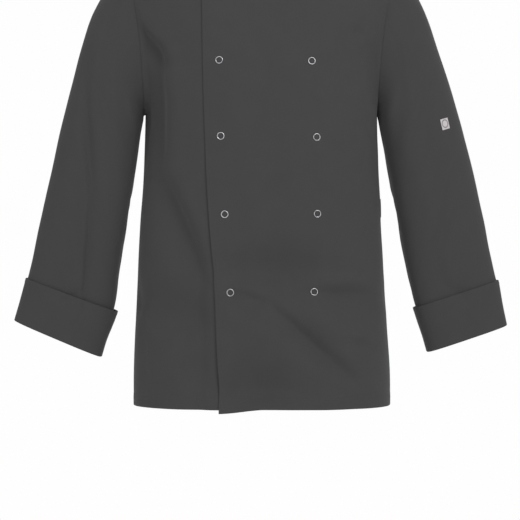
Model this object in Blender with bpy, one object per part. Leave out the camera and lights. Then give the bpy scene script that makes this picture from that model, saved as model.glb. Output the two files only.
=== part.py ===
"""Long-sleeved, double-breasted chef jacket, filled out and held at the neck.

The wearer's left front laps over the right one and closes with two columns of
ring press studs. The sleeves hang beside the body and end in turned-back cuffs.

+X is the wearer's left, -Y the front, +Z up. The origin is the middle of the
neck opening, level with the points where the shoulders meet the neck. Sizes in
the constants and tables are millimetres; the objects are in metres.

Body cloth is laid out on columns c and heights v. c runs from -2 (wearer's
right side seam) over -1 and +1 (the shoulder-neck points) to +2 (left side
seam). v runs from 0 at the hem to 1 at the armpit and 2 at the top edge.
"""

import math
from collections import namedtuple

import bmesh
import bpy
import numpy as np
from mathutils import Matrix, Vector
from mathutils.bvhtree import BVHTree

MM = 0.001

# Cloth and seams
CLOTH = 1.5
SEAM_GAP = 0.3
LAP_LIFT = 2.3
EDGE_LIFT = 1.6

# Body
HEM_Z = -769.0
PIT_Z = -284.0
SECTION_POWER = 2.45
LAP_CORNER_DROP = 6.0
LAP_TOP_FALL = 0.16
UNDER_EDGE_C = 0.75
BACK_COLUMN_X = 90.0

# Neck, shoulder and armhole
NECK_HALF = 80.0
NECK_FRONT = 75.0
NECK_FRONT_DROP = 75.0
NECK_BACK = 62.0
NECK_BACK_DROP = 18.0
SHOULDER_X = 234.0
SHOULDER_Y = 5.0
SHOULDER_Z = -45.0
ARMHOLE_FRONT = 68.0
ARMHOLE_BACK = 72.0
ARMHOLE_GAP = 0.9

# Collar
COLLAR_HEIGHT_FRONT = 34.0
COLLAR_HEIGHT_BACK = 40.0
COLLAR_SIDE_DIP = 4.0
COLLAR_LEAN = 0.16
COLLAR_END_GAP = 1.5
COLLAR_CORNER = 9.0
COLLAR_GAP = 1.4

# Sleeves and cuffs
SLEEVE_POWER = 2.15
CUFF_RETURN = 20.0
CUFF_DEPTH = 77.0
CUFF_TURN = 1.3

# Studs, label and tag
STUD_OUTER = 12.6
STUD_RIM = 1.7
STUD_HEIGHT = 1.1
STUD_SIDES = 16
LABEL_WIDTH = 13.0
LABEL_HEIGHT = 18.0
LABEL_TILT = 13.5
LABEL_X = 302.3
LABEL_Z = -303.8
TRIM_CLOTH = 0.6

# Mesh fineness
ROWS_LOW = 12
ROWS_UP = 12
COLUMNS_SIDE = 6
COLUMNS_LAP = 4
COLLAR_ROWS = 2

Level = namedtuple("Level", "z right_x left_x front back")
BODY = [
    # z, half width on the wearer's right and left, depth in front and behind
    Level(-785, 212.6, 215.8, 136, 118),
    Level(-712, 212.8, 215.6, 137, 116),
    Level(-637, 210.0, 210.4, 136, 113),
    Level(-556, 206.3, 205.6, 134, 110),
    Level(-480, 202.4, 201.0, 134, 111),
    Level(-393, 196.8, 197.0, 137, 116),
    Level(-330, 194.6, 194.8, 139, 120),
    Level(-284, 193.5, 192.5, 140, 122),
]

Lap = namedtuple("Lap", "z free_x under_x")
LAP = [
    # z, free edge of the left front, line beyond the hidden edge of the right
    Lap(-785, 67.0, 131),
    Lap(-592, 73.6, 131),
    Lap(-431, 85.0, 131),
    Lap(-270, 91.7, 129),
    Lap(-107, 96.0, 114),
    Lap(-45, 96.0, 98),
    Lap(0, 80.0, 80),
]

Armhole = namedtuple("Armhole", "z right_x left_x")
ARMHOLE = [
    # z, half width of the armhole seam on each side
    Armhole(-284, 193.5, 192.5),
    Armhole(-240, 195.0, 194.5),
    Armhole(-166, 200.0, 200.0),
    Armhole(-91, 213.0, 213.0),
    Armhole(-45, 234.0, 234.0),
]

Ring = namedtuple("Ring", "out_x out_z in_x in_z front back")
SLEEVE_LEFT = [
    # outer point, inner point, depth in front and behind; the last is the turn
    Ring(234.0, -45, 192.5, -284.0, 68, 72),
    Ring(243.0, -55, 195.0, -284.6, 69, 72),
    Ring(254.0, -73, 196.6, -287.0, 70, 72),
    Ring(266.0, -96, 198.2, -293.0, 71, 72),
    Ring(278.5, -128, 200.2, -303.0, 72, 72),
    Ring(293.0, -172, 203.2, -318.0, 72, 72),
    Ring(308.0, -216, 207.0, -338.0, 71, 71),
    Ring(322.0, -262, 211.5, -366.0, 69, 69),
    Ring(336.0, -309, 217.5, -398.0, 66, 66),
    Ring(350.0, -362, 224.3, -437.0, 61, 61),
    Ring(362.0, -415, 231.8, -478.0, 55, 55),
    Ring(373.0, -465, 240.2, -519.0, 49, 49),
    Ring(383.5, -515, 249.5, -561.0, 43, 43),
    Ring(393.0, -558, 259.0, -602.0, 38, 38),
    Ring(409.6, -637, 281.4, -680.5, 32, 32),
]
SLEEVE_RIGHT = [
    Ring(234.0, -45, 193.5, -284.0, 68, 72),
    Ring(246.0, -56, 196.6, -284.2, 69, 72),
    Ring(259.0, -74, 198.4, -286.6, 70, 72),
    Ring(271.0, -96, 199.2, -293.0, 71, 72),
    Ring(283.0, -123, 201.2, -303.0, 72, 72),
    Ring(296.0, -163, 204.0, -318.0, 72, 72),
    Ring(310.0, -213, 207.0, -339.0, 71, 71),
    Ring(323.0, -262, 210.5, -368.0, 69, 69),
    Ring(334.0, -308, 215.0, -400.0, 66, 66),
    Ring(345.0, -357, 220.5, -437.0, 61, 61),
    Ring(356.0, -405, 226.5, -474.0, 55, 55),
    Ring(367.5, -457, 233.5, -513.0, 49, 49),
    Ring(379.0, -508, 240.3, -557.0, 43, 43),
    Ring(389.5, -554, 247.0, -606.0, 38, 38),
    Ring(411.0, -629, 270.5, -688.5, 32, 32),
]

Station = namedtuple("Station", "up out")
CUFF_PROFILE = [
    # height above the turn and distance out from the sleeve's own wall
    Station(CUFF_RETURN, 0.0),
    Station(8.0, 0.0),
    Station(CUFF_TURN, 0.0),
    Station(0.0, CUFF_TURN),
    Station(CUFF_TURN, 2 * CUFF_TURN),
    Station(26.0, 2 * CUFF_TURN + 0.3),
    Station(52.0, 2 * CUFF_TURN + 0.8),
    Station(CUFF_DEPTH, 2 * CUFF_TURN + 1.4),
]
Flare = namedtuple("Flare", "outer inner")
CUFF_FLARE = {"left": Flare(1.2, 2.4), "right": Flare(0.8, 5.0)}

Crease = namedtuple("Crease", "name x0 z0 x1 z1 width depth")
FRONT_CREASES = [
    Crease("from right armhole", -190, -140, -152, -235, 26, 4.0),
    Crease("down right chest", -156, -220, -140, -400, 30, 3.5),
    Crease("down right waist", -138, -380, -96, -560, 30, 2.5),
    Crease("slant below studs", -20, -590, 140, -700, 36, 3.0),
    Crease("hollow over hem", -20, -660, -10, -700, 40, 1.5),
    Crease("from left armhole", 186, -165, 172, -330, 24, 3.0),
]
BACK_CREASES = [
    Crease("from right armhole", -180, -170, -120, -330, 30, 4.0),
    Crease("from left armhole", 182, -160, 130, -310, 30, 3.5),
    Crease("waist right", -150, -470, -40, -540, 28, 3.5),
    Crease("waist left", 150, -450, 50, -520, 28, 3.0),
    Crease("down the middle", 8, -560, -6, -720, 36, 3.0),
]

Furrow = namedtuple("Furrow", "name down0 angle0 down1 angle1 width depth")
SLEEVE_FURROWS = {
    "left": [
        Furrow("elbow front", 210, 55, 330, 95, 26, 2.5),
        Furrow("elbow back", 190, 250, 330, 290, 28, 3.5),
        Furrow("over the cuff", 400, 60, 470, 110, 24, 2.0),
    ],
    "right": [
        Furrow("down the front", 120, 84, 450, 78, 20, 3.0),
        Furrow("under the shoulder", 70, 58, 160, 50, 18, 2.5),
        Furrow("elbow back", 200, 245, 340, 285, 28, 3.5),
    ],
}

Stud = namedtuple("Stud", "name x z")
STUDS = [
    Stud("stud_r1", -67.5, -85.0),
    Stud("stud_r2", -67.3, -206.4),
    Stud("stud_r3", -64.6, -328.5),
    Stud("stud_r4", -58.3, -454.0),
    Stud("stud_r5", -49.6, -580.0),
    Stud("stud_l1", 75.0, -86.0),
    Stud("stud_l2", 81.6, -207.6),
    Stud("stud_l3", 89.5, -330.0),
    Stud("stud_l4", 90.7, -453.0),
    Stud("stud_l5", 85.6, -579.0),
]

Finish = namedtuple("Finish", "colour roughness metallic")
CHARCOAL = Finish((0.058, 0.057, 0.059), 0.92, 0.0)
NICKEL = Finish((0.72, 0.72, 0.74), 0.28, 1.0)
PALE_WEAVE = Finish((0.62, 0.60, 0.61), 0.85, 0.0)
TAG_WEAVE = Finish((0.068, 0.064, 0.060), 0.88, 0.0)


def mix(a, b, share):
    return a + (b - a) * share


def ease(value):
    value = min(max(value, 0.0), 1.0)
    return value * value * (3 - 2 * value)


def read(keys, values, at):
    """Smooth value of a table's column at a key, by cubic Hermite pieces."""
    if keys[0] > keys[-1]:
        keys = keys[::-1]
        values = values[::-1]
    at = min(max(at, keys[0]), keys[-1])
    last = len(keys) - 1
    i = min(max(int(np.searchsorted(keys, at)) - 1, 0), last - 1)
    slope = [0.0, 0.0]
    for n in (0, 1):
        lo = max(i + n - 1, 0)
        hi = min(i + n + 1, last)
        slope[n] = (values[hi] - values[lo]) / (keys[hi] - keys[lo])
    span = keys[i + 1] - keys[i]
    t = (at - keys[i]) / span
    start = (1 + 2 * t) * (1 - t) ** 2 * values[i]
    start += t * (1 - t) ** 2 * span * slope[0]
    end = t * t * (3 - 2 * t) * values[i + 1]
    end += t * t * (t - 1) * span * slope[1]
    return start + end


def column_of(rows, key, name, at):
    keys = [getattr(row, key) for row in rows]
    return read(keys, [getattr(row, name) for row in rows], at)


def oval(angle, half_width, depth, power):
    """Sideways and outward parts of a rounded section at an angle."""
    across = abs(math.sin(angle)) / half_width
    along = abs(math.cos(angle)) / depth
    radius = (across**power + along**power) ** (-1 / power)
    return radius * math.sin(angle), radius * math.cos(angle)


def crease_depth(creases, x, z):
    """How far the creases pull the cloth in at a place on a panel."""
    total = 0.0
    for crease in creases:
        run = np.array((crease.x1 - crease.x0, crease.z1 - crease.z0), float)
        offset = np.array((x - crease.x0, z - crease.z0))
        share = float(offset @ run / (run @ run))
        near = run * min(max(share, 0.0), 1.0)
        away = float(np.linalg.norm(offset - near))
        total += crease.depth * math.exp(-((away / crease.width) ** 2))
    return total


def guide_x(c, z, face):
    """Distance from the middle of the columns c = -1 and +1."""
    if face == "back":
        return mix(BACK_COLUMN_X, NECK_HALF, ease((z - PIT_Z) / -PIT_Z))
    return column_of(LAP, "z", "free_x" if c < 0 else "under_x", z)


def low_point(c, z, face):
    """Point of the body below the armpits."""
    side = -1 if c < 0 else 1
    half = column_of(BODY, "z", "right_x" if c < 0 else "left_x", z)
    depth = column_of(BODY, "z", face, z)
    forward = -1 if face == "front" else 1
    line = guide_x(c, z, face)
    rest = (1 - (line / half) ** SECTION_POWER) ** (1 / SECTION_POWER)
    if abs(c) <= 1:
        x = line * abs(c)
        y = depth * (1 - (x / half) ** SECTION_POWER) ** (1 / SECTION_POWER)
    else:
        turn = mix(math.atan2(line, depth * rest), math.pi / 2, abs(c) - 1)
        x, y = oval(turn, half, depth, SECTION_POWER)
    return np.array((side * x, forward * y, z))


def top_point(c, face):
    """Point of the neckline, or of the shoulder seam beyond it."""
    side = -1 if c < 0 else 1
    if abs(c) > 1:
        out = abs(c) - 1
        x = mix(NECK_HALF, SHOULDER_X, out)
        return np.array((side * x, SHOULDER_Y * out, SHOULDER_Z * out**1.08))
    turn = c * math.pi / 2
    reach = -NECK_FRONT if face == "front" else NECK_BACK
    drop = NECK_FRONT_DROP if face == "front" else NECK_BACK_DROP
    down = drop * math.cos(turn) ** 1.5
    return np.array((NECK_HALF * math.sin(turn), reach * math.cos(turn), -down))


def armhole_point(side, t, face):
    """Point of the armhole seam, t = 0 at the armpit and 1 at the shoulder."""
    middle = (SHOULDER_Z + PIT_Z) / 2
    z = middle - (SHOULDER_Z - PIT_Z) / 2 * math.cos(math.pi * t)
    x = column_of(ARMHOLE, "z", "right_x" if side < 0 else "left_x", z)
    reach = -ARMHOLE_FRONT if face == "front" else ARMHOLE_BACK
    bow = max(math.sin(math.pi * t), 0.0) ** 0.92
    return np.array((side * x, reach * bow + SHOULDER_Y * t, z))


def high_point(c, t, face):
    """Point of the body above the armpits."""
    side = -1 if c < 0 else 1
    if t >= 1:
        return top_point(c, face)
    seam = armhole_point(side, t, face)
    if abs(c) >= 2:
        return seam
    low = low_point(c, PIT_Z, face)
    top = top_point(c, face)
    swing = (1 - math.cos(math.pi * t)) / 2
    rise = mix(t, swing, (c / 2) ** 2)
    z = mix(low[2], top[2], rise)
    # Sideways: straight up each column, drawn to the guide and the armhole.
    guide_rise = mix(t, swing, 0.25)
    guide_low = side * guide_x(side, PIT_Z, face)
    guide = side * guide_x(side, mix(PIT_Z, 0.0, guide_rise), face)
    guide -= mix(guide_low, side * NECK_HALF, guide_rise)
    seam_x = seam[0] - mix(low_point(2 * side, PIT_Z, face)[0], side * SHOULDER_X, swing)
    x = mix(low[0], top[0], rise)
    x += guide * math.cos(math.pi / 2 * (abs(c) - 1)) ** 2
    x += seam_x * (c / 2) ** 4
    # Depth: a rounded section that opens at the armhole, then runs to the top.
    forward = -1 if face == "front" else 1
    depth = column_of(BODY, "z", face, PIT_Z)
    settle = 3.4 if face == "front" else 4.0
    side_pull = t**settle
    edge = (seam[1] - side_pull * SHOULDER_Y) / (1 - side_pull) * forward
    across = min(abs(x / seam[0]), 1.0)
    flat = mix(SECTION_POWER, 1.15, ease(t / 0.4))
    bow = max(1 - across**SECTION_POWER, 0.0) ** (1 / flat)
    pull = t ** mix(2.4 if face == "front" else 3.2, settle, min(abs(c), 1.0))
    y = mix(forward * mix(edge, depth, bow), top[1], pull)
    return np.array((x, y, z))


def body_point(c, v, face):
    """Point of the body's cloth, with its creases."""
    if v <= 1:
        point = low_point(c, mix(HEM_Z, PIT_Z, v), face)
    else:
        point = high_point(c, v - 1, face)
    creases = FRONT_CREASES if face == "front" else BACK_CREASES
    inward = 1 if face == "front" else -1
    fade = ease((2 - abs(c)) / 0.35) * ease((2 - v) / 0.35)
    point[1] += inward * fade * crease_depth(creases, point[0], point[2])
    return point


def sleeve_rings(side):
    return SLEEVE_LEFT if side > 0 else SLEEVE_RIGHT


def ring_downs(rings):
    """Distance of each ring down the sleeve, along its middle line."""
    downs = [0.0]
    for a, b in zip(rings, rings[1:]):
        dx = (b.out_x + b.in_x - a.out_x - a.in_x) / 2
        dz = (b.out_z + b.in_z - a.out_z - a.in_z) / 2
        downs.append(downs[-1] + math.hypot(dx, dz))
    return downs


def sleeve_point(side, down, angle, out=0.0, flare=None):
    """Point of a sleeve: angle 0 at the inner line, 180 degrees at the outer."""
    rings = sleeve_rings(side)
    downs = ring_downs(rings)
    row = Ring(*(read(downs, [getattr(r, f) for r in rings], down) for f in Ring._fields))
    outer = np.array((side * row.out_x, 0.0, row.out_z))
    inner = np.array((side * row.in_x, 0.0, row.in_z))
    half = np.linalg.norm(outer - inner) / 2
    along = (outer - inner) / (2 * half)
    middle = (outer + inner) / 2
    if flare:
        out += mix(flare.inner, flare.outer, (1 - math.cos(angle)) / 2)
    face = "front" if math.sin(angle) >= 0 else "back"
    depth = row.front if face == "front" else row.back
    turned = angle - math.pi / 2
    lengthwise, outward = oval(turned, half + out, depth + out, SLEEVE_POWER)
    point = middle + along * lengthwise
    point[1] = -outward
    settle = 1 - ease(down / 70)
    if settle > 0:
        share = angle / math.pi if face == "front" else 2 - angle / math.pi
        seam = armhole_point(side, share, face)
        first = rings[0]
        top = np.array((side * first.out_x, 0.0, first.out_z))
        low = np.array((side * first.in_x, 0.0, first.in_z))
        reach = first.front if face == "front" else first.back
        step = oval(turned, np.linalg.norm(top - low) / 2, reach, SLEEVE_POWER)
        start = (top + low) / 2 + (top - low) / np.linalg.norm(top - low) * step[0]
        start[1] = -step[1]
        point += (seam - start) * settle
    name = "left" if side > 0 else "right"
    pulled = 0.0
    for furrow in SLEEVE_FURROWS[name]:
        run = np.array((furrow.down1 - furrow.down0, furrow.angle1 - furrow.angle0), float)
        offset = np.array((down - furrow.down0, math.degrees(angle) - furrow.angle0))
        share = min(max(float(offset @ run / (run @ run)), 0.0), 1.0)
        away = np.linalg.norm(offset - run * share)
        pulled += furrow.depth * math.exp(-((away / furrow.width) ** 2))
    fade = ease(down / 60) * ease((downs[-1] - down - CUFF_DEPTH) / 30 + 1)
    centre = middle.copy()
    inward = centre - point
    return point + inward / np.linalg.norm(inward) * pulled * fade


def crossing(a, b):
    return np.cross(a, b)


class Sheet:
    """A grid of points through the middle of a piece of cloth."""

    def __init__(self, name, points, finish=CHARCOAL, tube=False, cloth=CLOTH):
        self.name = name
        self.gap = SEAM_GAP
        self.points = np.array(points, float)
        self.finish = finish
        self.tube = tube
        self.cloth = cloth
        self.seams = []
        self.across = self.slopes(1, tube)
        self.normals = crossing(self.across, self.slopes(0, False))
        self.normals /= np.linalg.norm(self.normals, axis=2, keepdims=True)
        self.swell = np.ones(self.points.shape[:2])

    def slopes(self, axis, wraps):
        if wraps:
            ahead = np.roll(self.points, -1, axis=axis)
            return ahead - np.roll(self.points, 1, axis=axis)
        return np.gradient(self.points, axis=axis)

    def face_outward(self, outward):
        """Turn the normals to the side given as one direction per point."""
        if float((self.normals * outward).sum()) < 0:
            self.normals *= -1
        return self

    def sew(self, *edges):
        """Name the edges that meet another piece: first/last row or column."""
        self.seams += edges
        return self

    def seam_cells(self, edge):
        rows, columns = self.points.shape[:2]
        row_lists = {"bottom": (0, 1), "top": (rows - 1, rows - 2)}
        column_lists = {"start": (0, 1), "end": (columns - 1, columns - 2)}
        if edge in row_lists:
            at, beside = row_lists[edge]
            return [((at, i), (beside, i)) for i in range(columns)]
        at, beside = column_lists[edge]
        return [((i, at), (i, beside)) for i in range(rows)]

    def pull_back(self):
        """Leave half the seam gap along each sewn edge."""
        shift = np.zeros_like(self.points)
        for edge in self.seams:
            cells = self.seam_cells(edge)
            count = len(cells)
            for n, (at, beside) in enumerate(cells):
                ahead = self.points[cells[min(n + 1, count - 1)][0]]
                line = ahead - self.points[cells[max(n - 1, 0)][0]]
                away = self.points[beside] - self.points[at]
                away /= np.linalg.norm(away)
                wall = crossing(self.normals[at], line)
                wall /= np.linalg.norm(wall)
                lean = max(abs(float(wall @ away)), 0.35)
                shift[at] += away * self.gap / 2 / lean
        self.points += shift

    def build(self, parent):
        half = (self.cloth / 2 * self.swell)[..., None] * self.normals
        rows, columns = self.points.shape[:2]
        outer = (self.points + half).reshape(-1, 3)
        inner = (self.points - half).reshape(-1, 3)
        count = rows * columns
        faces = []
        spans = columns if self.tube else columns - 1
        for r in range(rows - 1):
            for c in range(spans):
                a = r * columns + c
                b = r * columns + (c + 1) % columns
                for tri in ((a, b, b + columns), (a, b + columns, a + columns)):
                    faces.append(tri)
                    faces.append(tuple(count + i for i in reversed(tri)))
        borders = []
        for c in range(spans):
            a, b = c, (c + 1) % columns
            borders.append((b, a))
            borders.append(((rows - 1) * columns + a, (rows - 1) * columns + b))
        if not self.tube:
            for r in range(rows - 1):
                borders.append((r * columns, (r + 1) * columns))
                right = r * columns + columns - 1
                borders.append((right + columns, right))
        for a, b in borders:
            faces.append((a, b, count + b, count + a))
        points = np.concatenate([outer, inner]) * MM
        return add_object(self.name, mesh_from(self.name, points, faces), self.finish, parent)


def mesh_from(name, points, faces):
    """Closed mesh with its faces turned outward."""
    mesh = bpy.data.meshes.new(name)
    mesh.from_pydata([tuple(p) for p in points], [], faces)
    work = bmesh.new()
    work.from_mesh(mesh)
    if work.calc_volume(signed=True) < 0:
        bmesh.ops.reverse_faces(work, faces=work.faces[:])
    work.to_mesh(mesh)
    work.free()
    mesh.shade_smooth()
    mesh.set_sharp_from_angle(angle=math.radians(50))
    return mesh


def add_object(name, mesh, finish, parent):
    material = bpy.data.materials.new(name)
    material.use_nodes = True
    surface = material.node_tree.nodes["Principled BSDF"]
    surface.inputs["Base Color"].default_value = (*finish.colour, 1.0)
    surface.inputs["Roughness"].default_value = finish.roughness
    surface.inputs["Metallic"].default_value = finish.metallic
    material.diffuse_color = (*finish.colour, 1.0)
    obj = bpy.data.objects.new(name, mesh)
    obj.parent = parent
    bpy.context.scene.collection.objects.link(obj)
    if not mesh.materials:
        mesh.materials.append(material)
    else:
        obj.material_slots[0].link = "OBJECT"
        obj.material_slots[0].material = material
    return obj


def heights(low, high):
    """Row heights v: evenly up the body, then by turn round the armhole."""
    rows = [n / ROWS_LOW for n in range(ROWS_LOW)]
    rows += [1 + n / ROWS_UP for n in range(ROWS_UP + 1)]
    return [v for v in rows if low <= v <= high]


def front_columns(start, end):
    side = [1 + n / COLUMNS_SIDE for n in range(1, COLUMNS_SIDE + 1)]
    lap = [n / COLUMNS_LAP for n in range(1, COLUMNS_LAP + 1)]
    every = [-c for c in reversed(lap + side)] + [0.0] + lap + side
    return [c for c in every if start - 1e-6 <= c <= end + 1e-6]


def outward_of(points, middle_y=0.0):
    """Directions away from the body's middle line."""
    away = np.array(points, float)
    away[..., 1] -= middle_y
    away[..., 2] = 0.0
    return away


def lap_lift(c, v):
    """How far the left front stands out from the right one under it."""
    over = 1 - ease((c - UNDER_EDGE_C) / (1 - UNDER_EDGE_C))
    loose = ease((-0.55 - c) / 0.45) * ease((1.0 - v) / 0.5)
    neck = 1 + 0.5 * ease((v - 1.6) / 0.35)
    return LAP_LIFT * neck * over + EDGE_LIFT * loose


def over_front_point(c, v):
    """Middle of the left front's cloth, without its lift."""
    fall = LAP_TOP_FALL * ease(-c) if c < 0 else 0.0
    if v > 1:
        v = 1 + (v - 1) * (1 - fall)
    point = body_point(c, v, "front")
    drop = LAP_CORNER_DROP * ease((1.2 - c) / 2.2)
    point[2] -= drop * ease(1 - v / 0.12)
    return point


def lifted(point_at, c, v, lift):
    """Move a point of a surface out along the surface's own normal."""
    step = 0.002
    lo_v, hi_v = max(v - step, 0.0), min(v + step, 2.0)
    lo_c, hi_c = max(c - step, -2.0), min(c + step, 2.0)
    up = point_at(c, hi_v) - point_at(c, lo_v)
    along = point_at(hi_c, v) - point_at(lo_c, v)
    normal = crossing(along, up)
    normal /= np.linalg.norm(normal)
    return point_at(c, v) + normal * lift, normal


def make_front_left():
    grid = []
    for v in heights(0, 2):
        row = []
        for c in front_columns(-1, 2):
            row.append(lifted(over_front_point, c, v, lap_lift(c, v))[0])
        grid.append(row)
    sheet = Sheet("front_left", grid)
    return sheet.face_outward(outward_of(grid)).sew("end", "top")


def make_front_right():
    grid = []
    for v in heights(0, 2):
        row = []
        for c in front_columns(-2, UNDER_EDGE_C):
            under = 0.035 * ease(c / 0.2) if v >= 2 else 0.0
            row.append(body_point(c, v - under, "front"))
        grid.append(row)
    sheet = Sheet("front_right", grid)
    return sheet.face_outward(outward_of(grid)).sew("start", "top")


def make_back():
    grid = [[body_point(c, v, "back") for c in front_columns(-2, 2)] for v in heights(0, 2)]
    sheet = Sheet("back", grid)
    return sheet.face_outward(outward_of(grid)).sew("start", "end", "top")


def ring_angles():
    return [math.pi * n / ROWS_UP for n in range(2 * ROWS_UP)]


def make_sleeve(side):
    name = "left" if side > 0 else "right"
    downs = ring_downs(sleeve_rings(side))
    stops = downs[:-1] + [downs[-1] - CUFF_RETURN]
    grid = [[sleeve_point(side, d, a) for a in ring_angles()] for d in stops]
    sheet = Sheet("sleeve_" + name, grid, tube=True)
    middles = np.array(grid).mean(axis=1, keepdims=True)
    sheet.gap = ARMHOLE_GAP
    return sheet.face_outward(np.array(grid) - middles).sew("bottom", "top")


def make_cuff(side):
    name = "left" if side > 0 else "right"
    end = ring_downs(sleeve_rings(side))[-1]
    grid = []
    for station in CUFF_PROFILE:
        share = ease((station.up - 20) / (CUFF_DEPTH - 20)) if station.out > CUFF_TURN else 0
        flare = CUFF_FLARE[name]
        wide = Flare(flare.outer * share, flare.inner * share)
        row = [sleeve_point(side, end - station.up, a, station.out, wide) for a in ring_angles()]
        grid.append(row)
    sheet = Sheet("cuff_" + name, grid, tube=True)
    # The return's outside faces away from the sleeve's middle.
    first = np.array(grid[0])
    away = np.zeros_like(sheet.points)
    away[0] = first - first.mean(axis=0)
    return sheet.face_outward(away).sew("bottom")


def make_collar(front_left, front_right, back):
    """Stand collar on the neckline's own points, open at the centre front."""
    columns = front_columns(-2, 2)
    neck = [n for n, c in enumerate(columns) if abs(c) <= 1 + 1e-6]
    right_columns = front_columns(-2, UNDER_EDGE_C)
    left_columns = front_columns(-1, 2)
    base = []
    for c in [c for c in reversed(right_columns) if -1 - 1e-6 <= c <= 1e-6]:
        base.append(front_right.points[-1][right_columns.index(c)])
    base += [back.points[-1][n] for n in neck[1:]]
    for c in [c for c in reversed(left_columns) if -1e-6 <= c < 1 - 1e-6]:
        base.append(front_left.points[-1][left_columns.index(c)])
    base = np.array(base)
    count = len(base)
    grid = []
    for n in range(COLLAR_ROWS + 1):
        share = n / COLLAR_ROWS
        row = []
        for i, point in enumerate(base):
            backward = 1 - abs(2 * i / (count - 1) - 1)
            tall = mix(COLLAR_HEIGHT_FRONT, COLLAR_HEIGHT_BACK, ease(backward))
            tall -= COLLAR_SIDE_DIP * math.sin(math.pi * backward) ** 2
            if i in (0, count - 1):
                tall -= COLLAR_CORNER * share
            inward = -np.array((point[0], point[1], 0.0))
            inward /= np.linalg.norm(inward)
            lean = COLLAR_LEAN * tall * share
            row.append(point + inward * lean + np.array((0, 0, tall * share)))
        grid.append(row)
    for row in grid:
        for end, beside in ((0, 1), (-1, -2)):
            away = row[beside] - row[end]
            row[end] = row[end] + away / np.linalg.norm(away) * COLLAR_END_GAP
    sheet = Sheet("collar", grid)
    sheet.points[0] = base
    sheet.gap = COLLAR_GAP
    return sheet.face_outward(outward_of(grid)).sew("bottom")


def meet_at_seams(sheets):
    """Give points that coincide one shared direction, so their edges mitre."""
    meetings = {}
    for sheet in sheets:
        cells = {at for edge in sheet.seams for at, _ in sheet.seam_cells(edge)}
        for at in cells:
            key = tuple(np.round(sheet.points[at], 2))
            meetings.setdefault(key, []).append((sheet, at))
    for members in meetings.values():
        shared = sum(sheet.normals[at] for sheet, at in members)
        size = np.linalg.norm(shared)
        if len(members) < 2 or size < 0.3:
            continue
        shared /= size
        for sheet, at in members:
            sheet.swell[at] = 1 / max(float(shared @ sheet.normals[at]), 0.62)
        for sheet, at in members:
            sheet.normals[at] = shared


def find(surface, x, z, start, low, high):
    """The two parameters at which a surface lies at x and z."""
    at = np.array(start, float)
    goal = np.array((x, z))
    for _ in range(30):
        here = surface(*at)[[0, 2]]
        slopes = np.zeros((2, 2))
        for n in (0, 1):
            ahead = at.copy()
            ahead[n] += 1e-4
            slopes[:, n] = (surface(*ahead)[[0, 2]] - here) / 1e-4
        at = at + np.linalg.solve(slopes, goal - here)
        at = np.minimum(np.maximum(at, low), high)
    return at


def frame_at(centre, normal):
    """Placement with Z along the normal and Y as near upward as it can be."""
    up = Vector((0, 0, 1))
    out = Vector(normal).normalized()
    right = up.cross(out).normalized()
    turn = Matrix((right, out.cross(right), out)).transposed().to_4x4()
    return Matrix.Translation(Vector(centre * MM)) @ turn


def ring_mesh():
    """Open ring of a press stud: a low rounded rim turned about its axis."""
    inner = (STUD_OUTER / 2 - STUD_RIM) * MM
    outer = STUD_OUTER / 2 * MM
    top = STUD_HEIGHT * MM
    profile = [(inner, 0.0), (outer, 0.0), (outer, top * 0.45)]
    profile += [(outer - STUD_RIM * MM * 0.45, top), (inner, top * 0.5)]
    work = bmesh.new()
    corners = [work.verts.new((r, 0.0, h)) for r, h in profile]
    edges = [work.edges.new((a, b)) for a, b in zip(corners, corners[1:] + corners[:1])]
    bmesh.ops.spin(
        work,
        geom=corners + edges,
        cent=(0, 0, 0),
        axis=(0, 0, 1),
        angle=2 * math.pi,
        steps=STUD_SIDES,
        use_duplicate=False,
    )
    bmesh.ops.remove_doubles(work, verts=work.verts[:], dist=1e-6)
    bmesh.ops.recalc_face_normals(work, faces=work.faces[:])
    if work.calc_volume(signed=True) < 0:
        bmesh.ops.reverse_faces(work, faces=work.faces[:])
    mesh = bpy.data.meshes.new("press_stud_ring")
    work.to_mesh(mesh)
    work.free()
    mesh.shade_smooth()
    mesh.set_sharp_from_angle(angle=math.radians(60))
    return mesh


def clearance(tree, centre, normal):
    """Least height of a stud's ring over the cloth, looking along its axis."""
    out = Vector(normal)
    right = Vector((0, 0, 1)).cross(out).normalized()
    up = out.cross(right)
    least = None
    for radius in (STUD_OUTER / 2, STUD_OUTER / 2 - STUD_RIM):
        for n in range(STUD_SIDES):
            turn = 2 * math.pi * n / STUD_SIDES
            spot = Vector(centre) + (right * math.cos(turn) + up * math.sin(turn)) * radius
            hit = tree.ray_cast((spot + out * 20) * MM, -out)
            height = hit[3] / MM - 20
            least = height if least is None else min(least, height)
    return least


def add_studs(parent, front):
    mesh = ring_mesh()
    tree = BVHTree.FromObject(front, bpy.context.evaluated_depsgraph_get())
    for stud in STUDS:
        side = -1 if stud.x < 0 else 1
        guess = (0.7 * side, 1.0 if stud.z < PIT_Z else 1.4)
        c, v = find(over_front_point, stud.x, stud.z, guess, (-1, 0), (2, 1.97))
        centre, normal = lifted(over_front_point, c, v, lap_lift(c, v) + CLOTH / 2)
        normal = -normal if normal[1] > 0 else normal
        centre = centre + normal * (SEAM_GAP - clearance(tree, centre, normal))
        obj = add_object(stud.name, mesh, NICKEL, parent)
        obj.matrix_world = frame_at(centre, normal)


def sleeve_out(down, angle, out):
    """Point moved out from the left sleeve along the sleeve's normal."""
    step = 1e-3
    here = sleeve_point(1, down, angle)
    along = sleeve_point(1, down + step, angle) - here
    around = sleeve_point(1, down, angle + step) - here
    normal = crossing(along, around)
    normal /= np.linalg.norm(normal)
    if normal[1] > 0:
        normal = -normal
    return here + normal * out


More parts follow.
